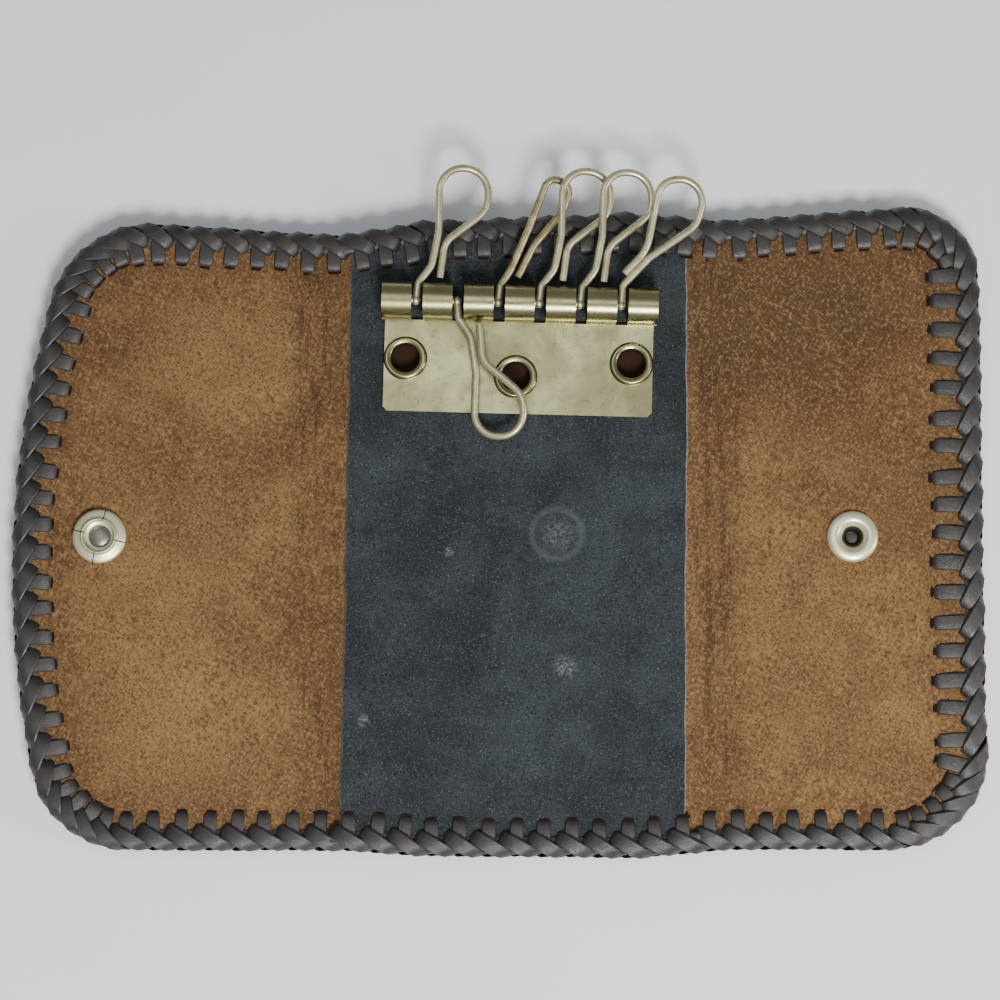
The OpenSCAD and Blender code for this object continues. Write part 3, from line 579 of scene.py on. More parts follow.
TOP_X, TOP_Y = zip(*TOP_LINE)
BOTTOM_X, BOTTOM_Y = zip(*BOTTOM_LINE)
print("case edges in mm:", round(left_low.x, 2), round(CASE_RIGHT, 2), "bottom", BOTTOM_LINE)


def edge_distance(x, y):
    """Distance to the outline in millimetres, negative inside; x and y may be arrays."""
    bowed = np.hypot(x - BOW_CENTRE[0], y - BOW_CENTRE[1]) - BOW_RADIUS
    bowed = np.where(x < 0, bowed, -1e3)
    corner = np.where((x > WORN_SIDE) & (y < 0), WORN_CORNER, CORNER)
    across = np.maximum(bowed, x - CASE_RIGHT) + corner
    up = np.maximum(y - np.interp(x, TOP_X, TOP_Y), np.interp(x, BOTTOM_X, BOTTOM_Y) - y) + corner
    rounded = np.hypot(np.maximum(across, 0), np.maximum(up, 0))
    return np.minimum(np.maximum(across, up), 0) + rounded - corner


def outward(x, y, step=0.05):
    """The direction in which the outline lies, as two arrays."""
    gx = edge_distance(x + step, y) - edge_distance(x - step, y)
    gy = edge_distance(x, y + step) - edge_distance(x, y - step)
    size = np.hypot(gx, gy) + 1e-12
    return gx / size, gy / size


# %% [markdown]
# ## Where the stitches go
#
# The lace goes round the case in equal steps, a little closer along the top and closer still round the
# corners. The outline is walked clockwise, and a stitch is set whenever the steps taken add up to a whole
# number, so the braid closes on itself without a gap. Each stitch keeps its place, its direction, the
# side it is on, how far in its slit lies, and the CAD body that it has to move with.

# %% Walk the outline
PITCHES = {"right": 4.75, "left": 4.6, "bottom": 4.5, "top": 4.15, "corner": 3.3}
SLIT_REACH = {"right": 6.35, "left": 4.45, "bottom": 4.2, "top": 4.6, "corner": 4.2}
LEG_WIDTH = {"right": 2.5, "left": 2.45, "bottom": 2.2, "top": 2.45, "corner": 2.3}
FIRST_STITCH = 0.35
LEAN, UNEVEN = 0.07, 0.25  # how far a leg leans, in radians, and its slit strays, in millimetres
NARROWEST, WIDEST = 0.94, 1.05
CASE_REACH = 120.0  # beyond the case on every side

angles = np.radians(np.arange(90.0, -270.0, -0.02))
inner, outer = np.zeros_like(angles), np.full_like(angles, CASE_REACH)
for _ in range(50):
    middle = (inner + outer) / 2
    beyond = edge_distance(middle * np.cos(angles), middle * np.sin(angles)) > 0
    outer = np.where(beyond, middle, outer)
    inner = np.where(beyond, inner, middle)
rim_x, rim_y = inner * np.cos(angles), inner * np.sin(angles)
rim_length = np.concatenate([[0], np.cumsum(np.hypot(np.diff(rim_x), np.diff(rim_y)))])
rim_nx, rim_ny = outward(rim_x, rim_y)
facing = np.degrees(np.arctan2(rim_ny, rim_nx))
print("outline length in mm:", round(float(rim_length[-1]), 1))


SIDE_ANGLES = (("right", 0, 12), ("top", 90, 14), ("bottom", -90, 12), ("left", 180, 20), ("left", -180, 20))


def side_of(angle):
    """The side of the case that a piece of outline belongs to, from the angle that it faces, in degrees."""
    return next((side for side, middle, half in SIDE_ANGLES if abs(angle - middle) < half), "corner")


sides = [side_of(a) for a in facing]
steps = np.concatenate([[0], np.cumsum(np.diff(rim_length) / np.array([PITCHES[s] for s in sides[1:]]))])
stitch_count = int(round(steps[-1]))
steps = steps * stitch_count / steps[-1]
print("stitches:", stitch_count)

# %% One record for each stitch
LEFT_GAP, RIGHT_GAP = 0.055, 0.045  # from a strip's solid to its hinges
LEFT_HINGES = (strip_high.x + LEFT_GAP, strip_low.x - LEFT_GAP)
RIGHT_HINGES = (next_low.x - RIGHT_GAP, next_high.x + RIGHT_GAP)
LINER_LEFT = ((-24.7, 44.0), (-26.2, -54.7))
LINER_RIGHT = ((30.75, 45.0), (29.9, -54.7))
LAP = 0.6  # a stitch this close to the liner still lies on it


def liner_edge(line, y):
    (x0, y0), (x1, y1) = line
    return x0 + (x1 - x0) * (y - y0) / (y1 - y0)


BODY_ENDS = (
    (LEFT_HINGES[1], "left_flap"), (LEFT_HINGES[0], "left_strip"), (RIGHT_HINGES[0], "centre"),
    (RIGHT_HINGES[1], "right_strip"), (CASE_REACH, "right_flap"),
)


def body_at(x):
    """The CAD body that the leather at x moves with."""
    return next(body for end, body in BODY_ENDS if x < end)


rng = np.random.default_rng(11)
stitches = []
for number in range(stitch_count):
    at = int(np.searchsorted(steps, number + FIRST_STITCH))
    x, y, side = rim_x[at], rim_y[at], sides[at]
    lined = liner_edge(LINER_LEFT, y) - LAP < x < liner_edge(LINER_RIGHT, y) + LAP
    stitches.append({
        "x": x, "y": y, "side": side, "body": body_at(x), "base": LINER_TOP if lined else LEATHER_TOP,
        "turn": math.atan2(rim_ny[at], rim_nx[at]) - math.pi / 2,
        "lean": rng.uniform(-LEAN, LEAN), "reach": SLIT_REACH[side] + rng.uniform(-UNEVEN, UNEVEN),
        "width": LEG_WIDTH[side] * rng.uniform(NARROWEST, WIDEST),
    })
for s in stitches:
    inwards = s["turn"] + s["lean"] - math.pi / 2
    s["slit"] = (s["x"] + s["reach"] * math.cos(inwards), s["y"] + s["reach"] * math.sin(inwards))
slit_x, slit_y = (np.array([s["slit"][axis] for s in stitches]) for axis in (0, 1))
print("stitches on the left flap:", sum(s["body"] == "left_flap" for s in stitches))

# %% [markdown]
# ## Leather slabs
#
# The hide is cut into four closed pieces that meet in the middle of the fold strips, because a piece can
# bend across one hinge only. Each is a fine grid between two curves, filled up to the outline, with a
# rounded rim. The surface is never flat: long shallow waves, upright furrows where the case folds, and a
# dimple at every slit. All pieces read the same height function, so their seams meet exactly.

# %% Height of the hide
wave_rng = np.random.default_rng(5)
WAVES = [tuple(wave_rng.uniform(*span) for span in ((0, 2 * math.pi), (14, 34), (0, 6.3))) for _ in range(9)]
FURROW_BANDS = ((-30.3, 6.0, 0.16), (35.2, 5.5, 0.16))
DIMPLE, DIMPLE_REACH = 0.22, 1.1
WAVE_HEIGHT, WAVE_DROP = 0.035, 3.5
STITCHED_BAND = 9.0


def hide_height(x, y, furrows=1.0):
    """How far the hide lies below its highest plane, in millimetres, and never above it."""
    height = np.zeros_like(x)
    for angle, length, phase in WAVES:
        height += np.sin(2 * math.pi * (x * math.cos(angle) + y * math.sin(angle)) / length + phase)
    height = WAVE_HEIGHT * (height - WAVE_DROP)
    for middle_x, half, depth in FURROW_BANDS:
        inside = np.clip(1 - np.abs(x - middle_x) / half, 0, 1) ** 0.7
        wander = 0.9 * np.sin(y / 7.0 + x * 0.15) + 0.6 * np.sin(y / 3.1 + 2.0)
        ridges = np.sin((x + wander) * 4.3) + 0.6 * np.sin((x - 0.7 * wander) * 7.9 + 1.3)
        height += furrows * depth * inside * (ridges - 1.6) * 0.5
    return np.minimum(height, 0.0)


def slit_dimples(x, y):
    """The leather is pulled down where the lace goes through it."""
    depth = np.zeros_like(x)
    near_rim = edge_distance(x, y) > -STITCHED_BAND
    if near_rim.any():
        px, py = x[near_rim], y[near_rim]
        gaps = np.min(np.hypot(px[:, None] - slit_x, py[:, None] - slit_y), axis=1)
        depth[near_rim] = DIMPLE * np.exp(-(gaps / DIMPLE_REACH) ** 2)
    return depth


def rim_dirt(x, y):
    """Where the suede is darker: dirt from fingers and lace along the braid, and painted shade round each
    slit.
    """
    along_rim = np.clip(1 + (edge_distance(x, y) + 3.5) / 6.0, 0, 1) * 0.5
    return np.clip(along_rim + slit_dimples(x, y) / DIMPLE * 0.5, 0, 1)


# %% Mesh maker
def made_mesh(name, points, faces, sharp_angle):
    """A mesh from points in millimetres, faces outwards, smooth up to edges of sharp_angle degrees."""
    mesh = bpy.data.meshes.new(name)
    mesh.from_pydata((np.asarray(points, float) * MM).tolist(), [], faces)
    work = bmesh.new()
    work.from_mesh(mesh)
    bmesh.ops.recalc_face_normals(work, faces=work.faces)
    work.to_mesh(mesh)
    work.free()
    mesh.shade_smooth()
    mesh.set_sharp_from_angle(angle=math.radians(sharp_angle))
    return mesh


def finished(work, name):
    """The mesh of a bmesh that is done."""
    mesh = bpy.data.meshes.new(name)
    work.to_mesh(mesh)
    work.free()
    return mesh


# %% Slab maker
RIM = 0.35
RIM_ROUND = 0.28  # how far down the rim's rounding starts, as a share of RIM
RIM_TUCK = 0.72  # how far out it is there, as a share of RIM


def crowded(count, dense_start, dense_end, length):
    """Shares from 0 to 1, evenly spread, but crowded towards an end that runs round the corners."""
    shares = np.linspace(0, 1, count)
    corner = ((WORN_CORNER if dense_end else CORNER) - RIM) / length
    curl = np.sin(np.linspace(0, math.pi / 2, 18)) * corner
    if dense_end:
        shares = np.concatenate([shares[shares < 1 - corner * 1.02], 1 - corner + curl])
    if dense_start:
        shares = np.concatenate([(corner - curl)[::-1], shares[shares > corner * 1.02]])
    return shares


def slab(name, start, end, low, top, materials, spacing=0.7, furrows=1.0, slant=0.0, ends=(False, False)):
    """A closed leather slab between two curves x = start(y) and x = end(y), filled up to the outline."""
    width = abs(float(end(np.array(0.0)) - start(np.array(0.0))))
    shares = crowded(int(width / spacing) + 2, ends[0], ends[1], width)
    limits = []
    for sign in (-1, 1):
        near, far = np.zeros_like(shares), np.full_like(shares, 70.0)
        for _ in range(45):
            trial = (near + far) / 2 * sign
            x = start(trial) + (end(trial) - start(trial)) * shares
            out = edge_distance(x, trial) > -RIM + 1e-5
            near, far = np.where(out, near, (near + far) / 2), np.where(out, (near + far) / 2, far)
        limits.append(near * sign)
    rows = int(100 / spacing)
    t = np.linspace(0, 1, rows)[:, None]
    y = limits[0] + (limits[1] - limits[0]) * t
    x = start(y) + (end(y) - start(y)) * shares
    columns = len(shares)
    flat_x, flat_y = x.ravel(), y.ravel()
    under = hide_height(flat_x, flat_y, furrows)
    height = under - slit_dimples(flat_x, flat_y)
    grid = np.arange(rows * columns).reshape(rows, columns)
    loop = np.concatenate([grid[0, :-1], grid[:-1, -1], grid[-1, :0:-1], grid[:0:-1, 0]])
    loop_x, loop_y = flat_x[loop], flat_y[loop]
    nx, ny = outward(loop_x, loop_y)
    on_rim = edge_distance(loop_x, loop_y) > -RIM - 0.02
    side_push = np.isin(loop, grid[:, -1]) * 1.0 - np.isin(loop, grid[:, 0]) * 1.0
    leaning = side_push * slant * np.where(on_rim, 0.0, 1.0)
    rings, loop_height = [], height[loop]
    tuck, turn = RIM * RIM_TUCK, RIM * RIM_ROUND
    for out, z in ((tuck, top - turn), (RIM, top - RIM), (RIM, low + RIM), (tuck, low + turn)):
        push = np.where(on_rim, out, 0.0)
        lean = leaning * (top - z) / (top - low)
        rings.append(np.stack([loop_x + nx * push + lean, loop_y + ny * push, z + loop_height], axis=1))
    upper = np.stack([flat_x, flat_y, top + height], axis=1)
    lower = np.stack([flat_x, flat_y, low + under], axis=1)
    lower[loop, 0] += leaning
    count, around = rows * columns, len(loop)
    quads = np.stack([grid[:-1, :-1], grid[:-1, 1:], grid[1:, 1:], grid[1:, :-1]], axis=-1).reshape(-1, 4)
    faces = [quads, quads[:, ::-1] + count]
    levels = [loop] + [2 * count + around * i + np.arange(around) for i in range(4)] + [loop + count]
    for above, below in zip(levels, levels[1:]):
        faces.append(np.stack([above, below, np.roll(below, -1), np.roll(above, -1)], axis=1))
    points = np.concatenate([upper, lower, *rings])
    mesh = made_mesh(name, points, np.concatenate(faces).tolist(), 50)
    # Dirt along the braid and painted shade round each slit, for the suede's colour.
    slit_shade_and_dirt = np.zeros(len(points), np.float32)
    slit_shade_and_dirt[:count] = rim_dirt(flat_x, flat_y)
    mesh.attributes.new("slit_shade_and_dirt", "FLOAT", "POINT").data.foreach_set("value", slit_shade_and_dirt)
    for material in materials:
        mesh.materials.append(material)
    kinds = np.repeat([0, 1, 2], [len(quads), len(quads), around * 5]).astype(np.int32)
    mesh.polygons.foreach_set("material_index", kinds)
    print(name, "faces:", len(mesh.polygons))
    return linked(name, mesh)


def straight(x):
    return lambda y: np.full_like(np.asarray(y, float), x)


def bowed_edge(y):
    return BOW_CENTRE[0] - np.sqrt((BOW_RADIUS - RIM) ** 2 - (np.asarray(y, float) - BOW_CENTRE[1]) ** 2)


# %% [markdown]
# The seams between the four pieces lie in the middle of the left and right fold strips and, for the two
# middle ones, hidden under the liner.

# %% Four leather pieces
LEFT_SEAM = sum(LEFT_HINGES) / 2
RIGHT_SEAM = sum(RIGHT_HINGES) / 2
HIDDEN_SEAM = 29.0
leather = (LEATHER_LOW, LEATHER_TOP, [suede, grain_leather, grain_leather])
seams = [straight(x) for x in (LEFT_SEAM, HIDDEN_SEAM, RIGHT_SEAM, CASE_RIGHT - RIM)]
leather_middle = slab("leather_middle", seams[0], seams[1], *leather)
leather_right_bend = slab("leather_right_bend", seams[1], seams[2], *leather)
leather_left_flap = slab("leather_left_flap", bowed_edge, seams[0], *leather, ends=(True, False))
leather_right_flap = slab("leather_right_flap", seams[2], seams[3], *leather, ends=(False, True))

# %% [markdown]
# ## Liner
#
# The liner is a slab of the same kind, between its own two slanting cut edges, which lean outwards a
# little so that the pale cut shows from above. Three round holes are punched in it, where the plate's
# eyelets go through: the brown leather shows at the bottom of each eyelet, darkened by painted shade.

# %% Liner with its cut edges
def cut_line(line, seed, sign):
    """A slanting cut with the small wander of a knife, lying slant inside the liner's foot."""
    phases = np.random.default_rng(seed).uniform(0, 6.28, 4)

    def at(y):
        y = np.asarray(y, float)
        wander = sum(0.05 * np.sin(y / size + phase) for size, phase in zip((1.3, 2.9, 6.1, 11.0), phases))
        return liner_edge(line, y) + wander + sign * CUT_SLANT
    return at


CUT_SLANT = 0.3
LINER_FURROWS = 0.35
liner = slab("liner_navy", cut_line(LINER_LEFT, 3, 1), cut_line(LINER_RIGHT, 4, -1), LEATHER_TOP, LINER_TOP,
             [navy_liner, cut_edge, cut_edge], furrows=LINER_FURROWS, slant=CUT_SLANT)


# %% Punch holes
def cut_with(piece, tool):
    """Takes the tool's shape out of a piece, and removes the tool."""
    cut = piece.modifiers.new("cut", "BOOLEAN")
    cut.object = tool
    cut.solver = "EXACT"
    evaluated = piece.evaluated_get(bpy.context.evaluated_depsgraph_get())
    changed = bpy.data.meshes.new_from_object(evaluated)
    piece.modifiers.clear()
    piece.data = changed
    bpy.data.objects.remove(tool)


def punch(piece, centre, radius, low, high):
    """Cuts a round hole through a piece, with an exact boolean."""
    work = bmesh.new()
    radius, depth = radius * MM, (high - low) * MM
    bmesh.ops.create_cone(work, cap_ends=True, segments=48, radius1=radius, radius2=radius, depth=depth)
    bmesh.ops.translate(work, verts=work.verts, vec=Vector((centre[0], centre[1], (low + high) / 2)) * MM)
    cut_with(piece, linked("punch", finished(work, "punch")))


def loose_centres(node):
    """The centre of each separate solid of a CAD node, in millimetres, from left to right."""
    work = bmesh.new()
    work.from_mesh(frame["nodes"][node].data)
    bmesh.ops.remove_doubles(work, verts=work.verts, dist=1e-6)
    left, centres = set(work.verts), []
    while left:
        group, front = set(), [next(iter(left))]
        while front:
            vertex = front.pop()
            if vertex in left:
                left.discard(vertex)
                group.add(vertex)
                front.extend(e.other_vert(vertex) for e in vertex.link_edges)
        spots = np.array([v.co for v in group]) / MM
        centres.append((spots.min(0) + spots.max(0)) / 2)
    work.free()
    return sorted(centres, key=lambda c: c[0])


EYELET_HOLE, SNAP_HOLE = 2.55, 1.52
for centre in loose_centres("plate_eyelets"):
    punch(liner, centre, EYELET_HOLE, LEATHER_TOP - 1, LINER_TOP + 1)
    print("eyelet hole at", [round(float(c), 2) for c in centre[:2]])
snap_centres = {}
for node, flap in (("snap_socket", leather_left_flap), ("stud_eyelet", leather_right_flap)):
    low, high = node_box(node)
    snap_centres[node] = (low + high) / 2
    punch(flap, snap_centres[node], SNAP_HOLE, LEATHER_LOW - 1, LEATHER_TOP + 1)
print("snap holes at", {k: [round(c, 2) for c in v] for k, v in snap_centres.items()})


# %% Painted shade down in the eyelets and in the stud's funnel
MARK_EDGE = 0.72  # a mark has faded out at this share of its reach


def darken_hole(material, centres, reach, dark):
    """Paints shade into a finish within a round hole, reach millimetres from each centre."""
    tree = material.node_tree
    shader = tree.nodes["Principled BSDF"]
    place = tree.nodes["Texture Coordinate"].outputs["Object"]
    for centre in centres:
        inside = mark(tree, place, centre[0], centre[1], reach / MARK_EDGE, 0.0).outputs["Inside"]
        plain = shader.inputs["Base Color"].links[0].from_socket
        tone = mix_colour(tree, ramp_value(tree, inside, 0.15, 0.4), plain, dark)
        tree.links.new(tone, shader.inputs["Base Color"])


EYELET_SHADE_REACH, FUNNEL_SHADE_REACH = 2.5, 1.75
darken_hole(suede, loose_centres("plate_eyelets"), EYELET_SHADE_REACH, srgb(40, 26, 18))
darken_hole(snap_nickel, [snap_centres["stud_eyelet"]], FUNNEL_SHADE_REACH, srgb(52, 46, 34))

# %% [markdown]
# ## The shapes of one stitch
#
# Each stitch is a flat strip bent along a path: it comes over the edge from the back as a narrow tail,
# lies slantwise on the braid and plunges at its blunt inner end. A second, straight strip, the leg, runs
# from under the braid to its slit. Both are lofted from stations along the path, each with its own width
# and its own tilt, with a flat section that is slightly domed and has crisp edges. Only a few dozen faces
# each, as they repeat.

# %% Loft a strip
SECTION = (
    (-1.0, 0.05), (-0.86, 0.40), (-0.4, 0.55), (0.4, 0.55), (0.86, 0.40), (1.0, 0.05),
    (0.85, -0.3), (-0.85, -0.3),
)


def strip_shape(name, stations, thickness, flip=False):
    """Lofts the section along stations of (place, facing, width), in millimetres; flip turns it over."""
    places = np.array([s[0] for s in stations], float)
    tangents = np.gradient(places, axis=0)
    points, uvs, run = [], [], 0.0
    for i, (place, faces_to, width) in enumerate(stations):
        run += float(np.linalg.norm(places[i] - places[i - 1])) if i else 0.0
        tangent = tangents[i] / np.linalg.norm(tangents[i])
        across = np.cross(tangent, np.array(faces_to, float))
        across /= np.linalg.norm(across)
        up = np.cross(across, tangent)
        for sx, sz in SECTION:
            spot = places[i] + across * sx * width / 2 + up * sz * thickness
            points.append(spot)
            uvs.append((sx * width / 2, run))
    points = np.array(points)
    if flip:
        points[:, 2] = -(LEATHER_TOP - LEATHER_LOW) - points[:, 2]
    size, faces = len(SECTION), []
    for i in range(len(stations) - 1):
        for j in range(size):
            a, b = i * size + j, i * size + (j + 1) % size
            faces.append((a, b, b + size, a + size))
    faces.append(tuple(range(size))[::-1])
    faces.append(tuple(range((len(stations) - 1) * size, len(stations) * size)))
    mesh = made_mesh(name, points, faces, 38)
    layer = mesh.uv_layers.new(name="UVMap")
    for corner in mesh.loops:
        layer.data[corner.index].uv = uvs[corner.vertex_index]
    return linked(name, mesh)


STRAP_STATIONS = (
    ((-5.5, 0.35, -2.3), (0.0, 0.80, -0.6), 1.0),
    ((-4.8, 1.00, -1.55), (0.0, 0.97, -0.1), 1.5),
    ((-3.8, 1.36, -0.60), (0.0, 0.88, 0.45), 2.05),
    ((-2.6, 1.18, 0.28), (0.0, 0.60, 0.80), 2.4),
    ((-1.3, 0.62, 0.76), (0.0, 0.30, 0.95), 2.5),
    ((0.0, -0.08, 0.88), (0.0, 0.12, 1.0), 2.5),
    ((1.1, -0.68, 0.80), (0.12, 0.02, 1.0), 2.5),
    ((1.9, -1.12, 0.52), (0.40, -0.25, 0.9), 2.45),
    ((2.45, -1.40, 0.10), (0.62, -0.45, 0.65), 2.3),
    ((2.7, -1.50, -0.42), (0.75, -0.55, 0.35), 2.0),
)
LEG_LENGTH = 5.0
LEG_STATIONS = (
    ((0.0, -0.6, 0.12), (0, 0.1, 1), 2.4),
    ((0.0, -2.4, 0.26), (0, 0.0, 1), 2.4),
    ((0.0, -3.5, 0.20), (0, -0.1, 1), 2.4),
    ((0.0, -4.2, 0.08), (0, -0.25, 1), 2.38),
    ((0.0, -4.65, -0.12), (0, -0.6, 0.8), 2.34),
    ((0.0, -4.9, -0.45), (0, -0.9, 0.4), 2.28),
    ((0.0, -5.0, -0.9), (0, -1.0, 0.1), 2.2),
)
CORE_STEPS = (-3.0, -1.5, 0.0, 1.5, 3.0)
CORE_STATIONS = [((u, -0.35, 0.12 + 0.1 * math.cos(u * 1.3)), (0, 0.05, 1), 2.1) for u in CORE_STEPS]
RIM_STATIONS = [((u, 0.42 + 0.08 * math.cos(u * 1.3), -1.0), (0, 1, 0), 2.7) for u in CORE_STEPS]
STRAP_THICKNESS, LEG_THICKNESS, CORE_THICKNESS = 0.55, 0.5, 0.4
strap = strip_shape("strap", STRAP_STATIONS, STRAP_THICKNESS)
core = strip_shape("core", CORE_STATIONS, CORE_THICKNESS)
back_core = strip_shape("back_core", CORE_STATIONS, CORE_THICKNESS, flip=True)
rim_core = strip_shape("rim_core", RIM_STATIONS, CORE_THICKNESS)
back_strap = strip_shape("back_strap", STRAP_STATIONS, STRAP_THICKNESS, flip=True)
leg = strip_shape("leg", LEG_STATIONS, LEG_THICKNESS)
back_leg = strip_shape("back_leg", LEG_STATIONS, LEG_THICKNESS, flip=True)
print("faces of a strap and a leg:", len(strap.data.polygons), len(leg.data.polygons))


# %% The painted shadow of the slit round a leg's end
def slit_shape():
    """A dark rim of painted shadow that frames the end of a leg where it goes into its slit, lying just above
    the leather.
    """
    rings = ((1.55, 0.50, 0.0), (1.42, 0.36, 0.13), (1.15, 0.2, 0.1))
    points, faces, around = [], [], 20
    for half_width, half_depth, z in rings:
        for k in range(around):
            angle = 2 * math.pi * k / around
            cx, sy = math.cos(angle), math.sin(angle)
            px = half_width * math.copysign(abs(cx) ** 0.7, cx)
            py = -LEG_LENGTH + 0.02 + half_depth * math.copysign(abs(sy) ** 0.8, sy)
            points.append((px, py, z - DIMPLE))
    for r in range(len(rings) - 1):
        for k in range(around):
            a, b = r * around + k, r * around + (k + 1) % around
            faces.append((a, b, b + around, a + around))
    faces.append(tuple(range((len(rings) - 1) * around, len(rings) * around)))
    faces.append(tuple(range(around))[::-1])
    mesh = bpy.data.meshes.new("slit")
    mesh.from_pydata([(x * MM, y * MM, z * MM) for x, y, z in points], [], faces)
    mesh.shade_smooth()
    return linked("slit", mesh)


slit = slit_shape()
shapes = (strap, back_strap, core, back_core, rim_core, leg, back_leg, slit)

# %% [markdown]
# ## Lacing by Geometry Nodes
#
# The stitches are points on the outline that carry their own turn, leg length and leg width. A tree puts
# a strap, a leg and the painted shadow of a slit on each point of the front, and a strap and a leg on each
# point of the back, half a step on. Named inputs set how much hand work varies, and a fixed seed makes it
# the same each time. The tree ends by making real mesh of everything.

# %% Build the lacing tree
LACING_INPUTS = (
    ("Strap", "NodeSocketObject"), ("Core", "NodeSocketObject"), ("Rim", "NodeSocketObject"),
    ("Leg", "NodeSocketObject"), ("Slit", "NodeSocketObject"),
    ("Turn variation", "NodeSocketFloat"), ("Size variation", "NodeSocketFloat"), ("Seed", "NodeSocketInt"),
    ("Lace", "NodeSocketMaterial"), ("Slit shadow", "NodeSocketMaterial"),
)
lacing_tree = bpy.data.node_groups.new("lacing", "GeometryNodeTree")
lacing_tree.interface.new_socket("Stitches", in_out="INPUT", socket_type="NodeSocketGeometry")
for title, kind in LACING_INPUTS:
    lacing_tree.interface.new_socket(title, in_out="INPUT", socket_type=kind)
lacing_tree.interface.new_socket("Lacing", in_out="OUTPUT", socket_type="NodeSocketGeometry")
given = add(lacing_tree, "NodeGroupInput")
result = add(lacing_tree, "NodeGroupOutput")


def stored(name):
    """A number that each stitch's point carries."""
    node = add(lacing_tree, "GeometryNodeInputNamedAttribute", {"Name": name}, data_type="FLOAT")
    return node.outputs[0]


def number_from(node):
    """The output in use of a random value node that gives numbers."""
    return next(s for s in node.outputs if s.type == "VALUE" and s.enabled)


def varied(amount, seed_shift):
    """A random number between minus and plus amount, from the tree's seed."""
    node = add(lacing_tree, "FunctionNodeRandomValue", data_type="FLOAT")
    numbers = [s for s in node.inputs if s.type == "VALUE" and s.enabled]
    lacing_tree.links.new(math_node(lacing_tree, "MULTIPLY", amount, -1.0), numbers[0])
    lacing_tree.links.new(amount, numbers[1])
    seed = math_node(lacing_tree, "ADD", given.outputs["Seed"], float(seed_shift))
    lacing_tree.links.new(seed, node.inputs["Seed"])
    return number_from(node)


def placed_shapes(shape, turn, scale, finish):
    """One shape on each stitch, turned and scaled, with its own tone, as real mesh with its finish."""
    source = {"Object": given.outputs[shape]}
    part = add(lacing_tree, "GeometryNodeObjectInfo", source, transform_space="ORIGINAL")
    turned = add(lacing_tree, "ShaderNodeCombineXYZ", {2: turn}).outputs[0]
    spread = add(lacing_tree, "GeometryNodeInstanceOnPoints", {
        "Points": given.outputs["Stitches"], "Instance": part.outputs["Geometry"],
        "Rotation": turned, "Scale": scale})
    tone = number_from(add(lacing_tree, "FunctionNodeRandomValue", data_type="FLOAT"))
    toned = add(lacing_tree, "GeometryNodeStoreNamedAttribute", {
        "Geometry": spread.outputs[0], "Name": "tone", "Value": tone}, data_type="FLOAT", domain="INSTANCE")
    real = add(lacing_tree, "GeometryNodeRealizeInstances", {"Geometry": toned.outputs[0]})
    return add(lacing_tree, "GeometryNodeSetMaterial", {
        "Geometry": real.outputs[0], "Material": given.outputs[finish]})


def scaled(wide, deep=1.0):
    """A scale vector: along the edge, and out from it."""
    return add(lacing_tree, "ShaderNodeCombineXYZ", {0: wide, 1: deep, 2: 1.0}).outputs[0]


strap_turn = math_node(lacing_tree, "ADD", stored("turn"), varied(given.outputs["Turn variation"], 1))
strap_size = math_node(lacing_tree, "ADD", stored("strap_size"), varied(given.outputs["Size variation"], 2))
leg_turn = math_node(lacing_tree, "ADD", stored("turn"), stored("lean"))
leg_scale = scaled(stored("leg_width"), stored("leg_length"))
core_scale = scaled(stored("strap_size"))
together = add(lacing_tree, "GeometryNodeJoinGeometry")
for shape, turn, scale, finish in (
    ("Strap", strap_turn, scaled(strap_size), "Lace"),
    ("Core", stored("turn"), core_scale, "Lace"),
    ("Rim", stored("turn"), core_scale, "Lace"),
    ("Leg", leg_turn, leg_scale, "Lace"),
    ("Slit", leg_turn, leg_scale, "Slit shadow"),
):
    made = placed_shapes(shape, turn, scale, finish)
    lacing_tree.links.new(made.outputs[0], together.inputs[0])
lacing_tree.links.new(together.outputs[0], result.inputs[0])
socket_ids = {s.name: s.identifier for s in lacing_tree.interface.items_tree if s.in_out == "INPUT"}
print("lacing tree inputs:", list(socket_ids))


# %% Lace each body
CORNER_STRAP, STRAP_PITCH, LEG_WIDE = 0.93, 4.7, 2.4


def stitch_points(name, chosen, shift):
    """A mesh of bare points, one for each stitch, with the numbers that the tree reads."""
    mesh = bpy.data.meshes.new(name)
    places = []
    for s in chosen:
        ahead = shift * PITCHES[s["side"]]
        x = s["x"] + ahead * math.cos(s["turn"])
        y = s["y"] + ahead * math.sin(s["turn"])
        furrows = 1.0 if s["base"] == LEATHER_TOP else LINER_FURROWS
        sink = float(hide_height(*np.array(s["slit"])[:, None], furrows)[0])
        z = s["base"] if shift == 0 else LEATHER_TOP
        places.append((x * MM, y * MM, (z + sink) * MM))
    mesh.from_pydata(places, [], [])
    numbers = {
        "turn": [s["turn"] for s in chosen],
        "lean": [s["lean"] for s in chosen],
        "leg_length": [s["reach"] / LEG_LENGTH for s in chosen],
        "leg_width": [s["width"] / LEG_WIDE for s in chosen],
        "strap_size": [CORNER_STRAP if s["side"] == "corner" else PITCHES[s["side"]] / STRAP_PITCH
                       for s in chosen],
    }
    for key, values in numbers.items():
        mesh.attributes.new(key, "FLOAT", "POINT").data.foreach_set("value", values)
    return linked(name, mesh)


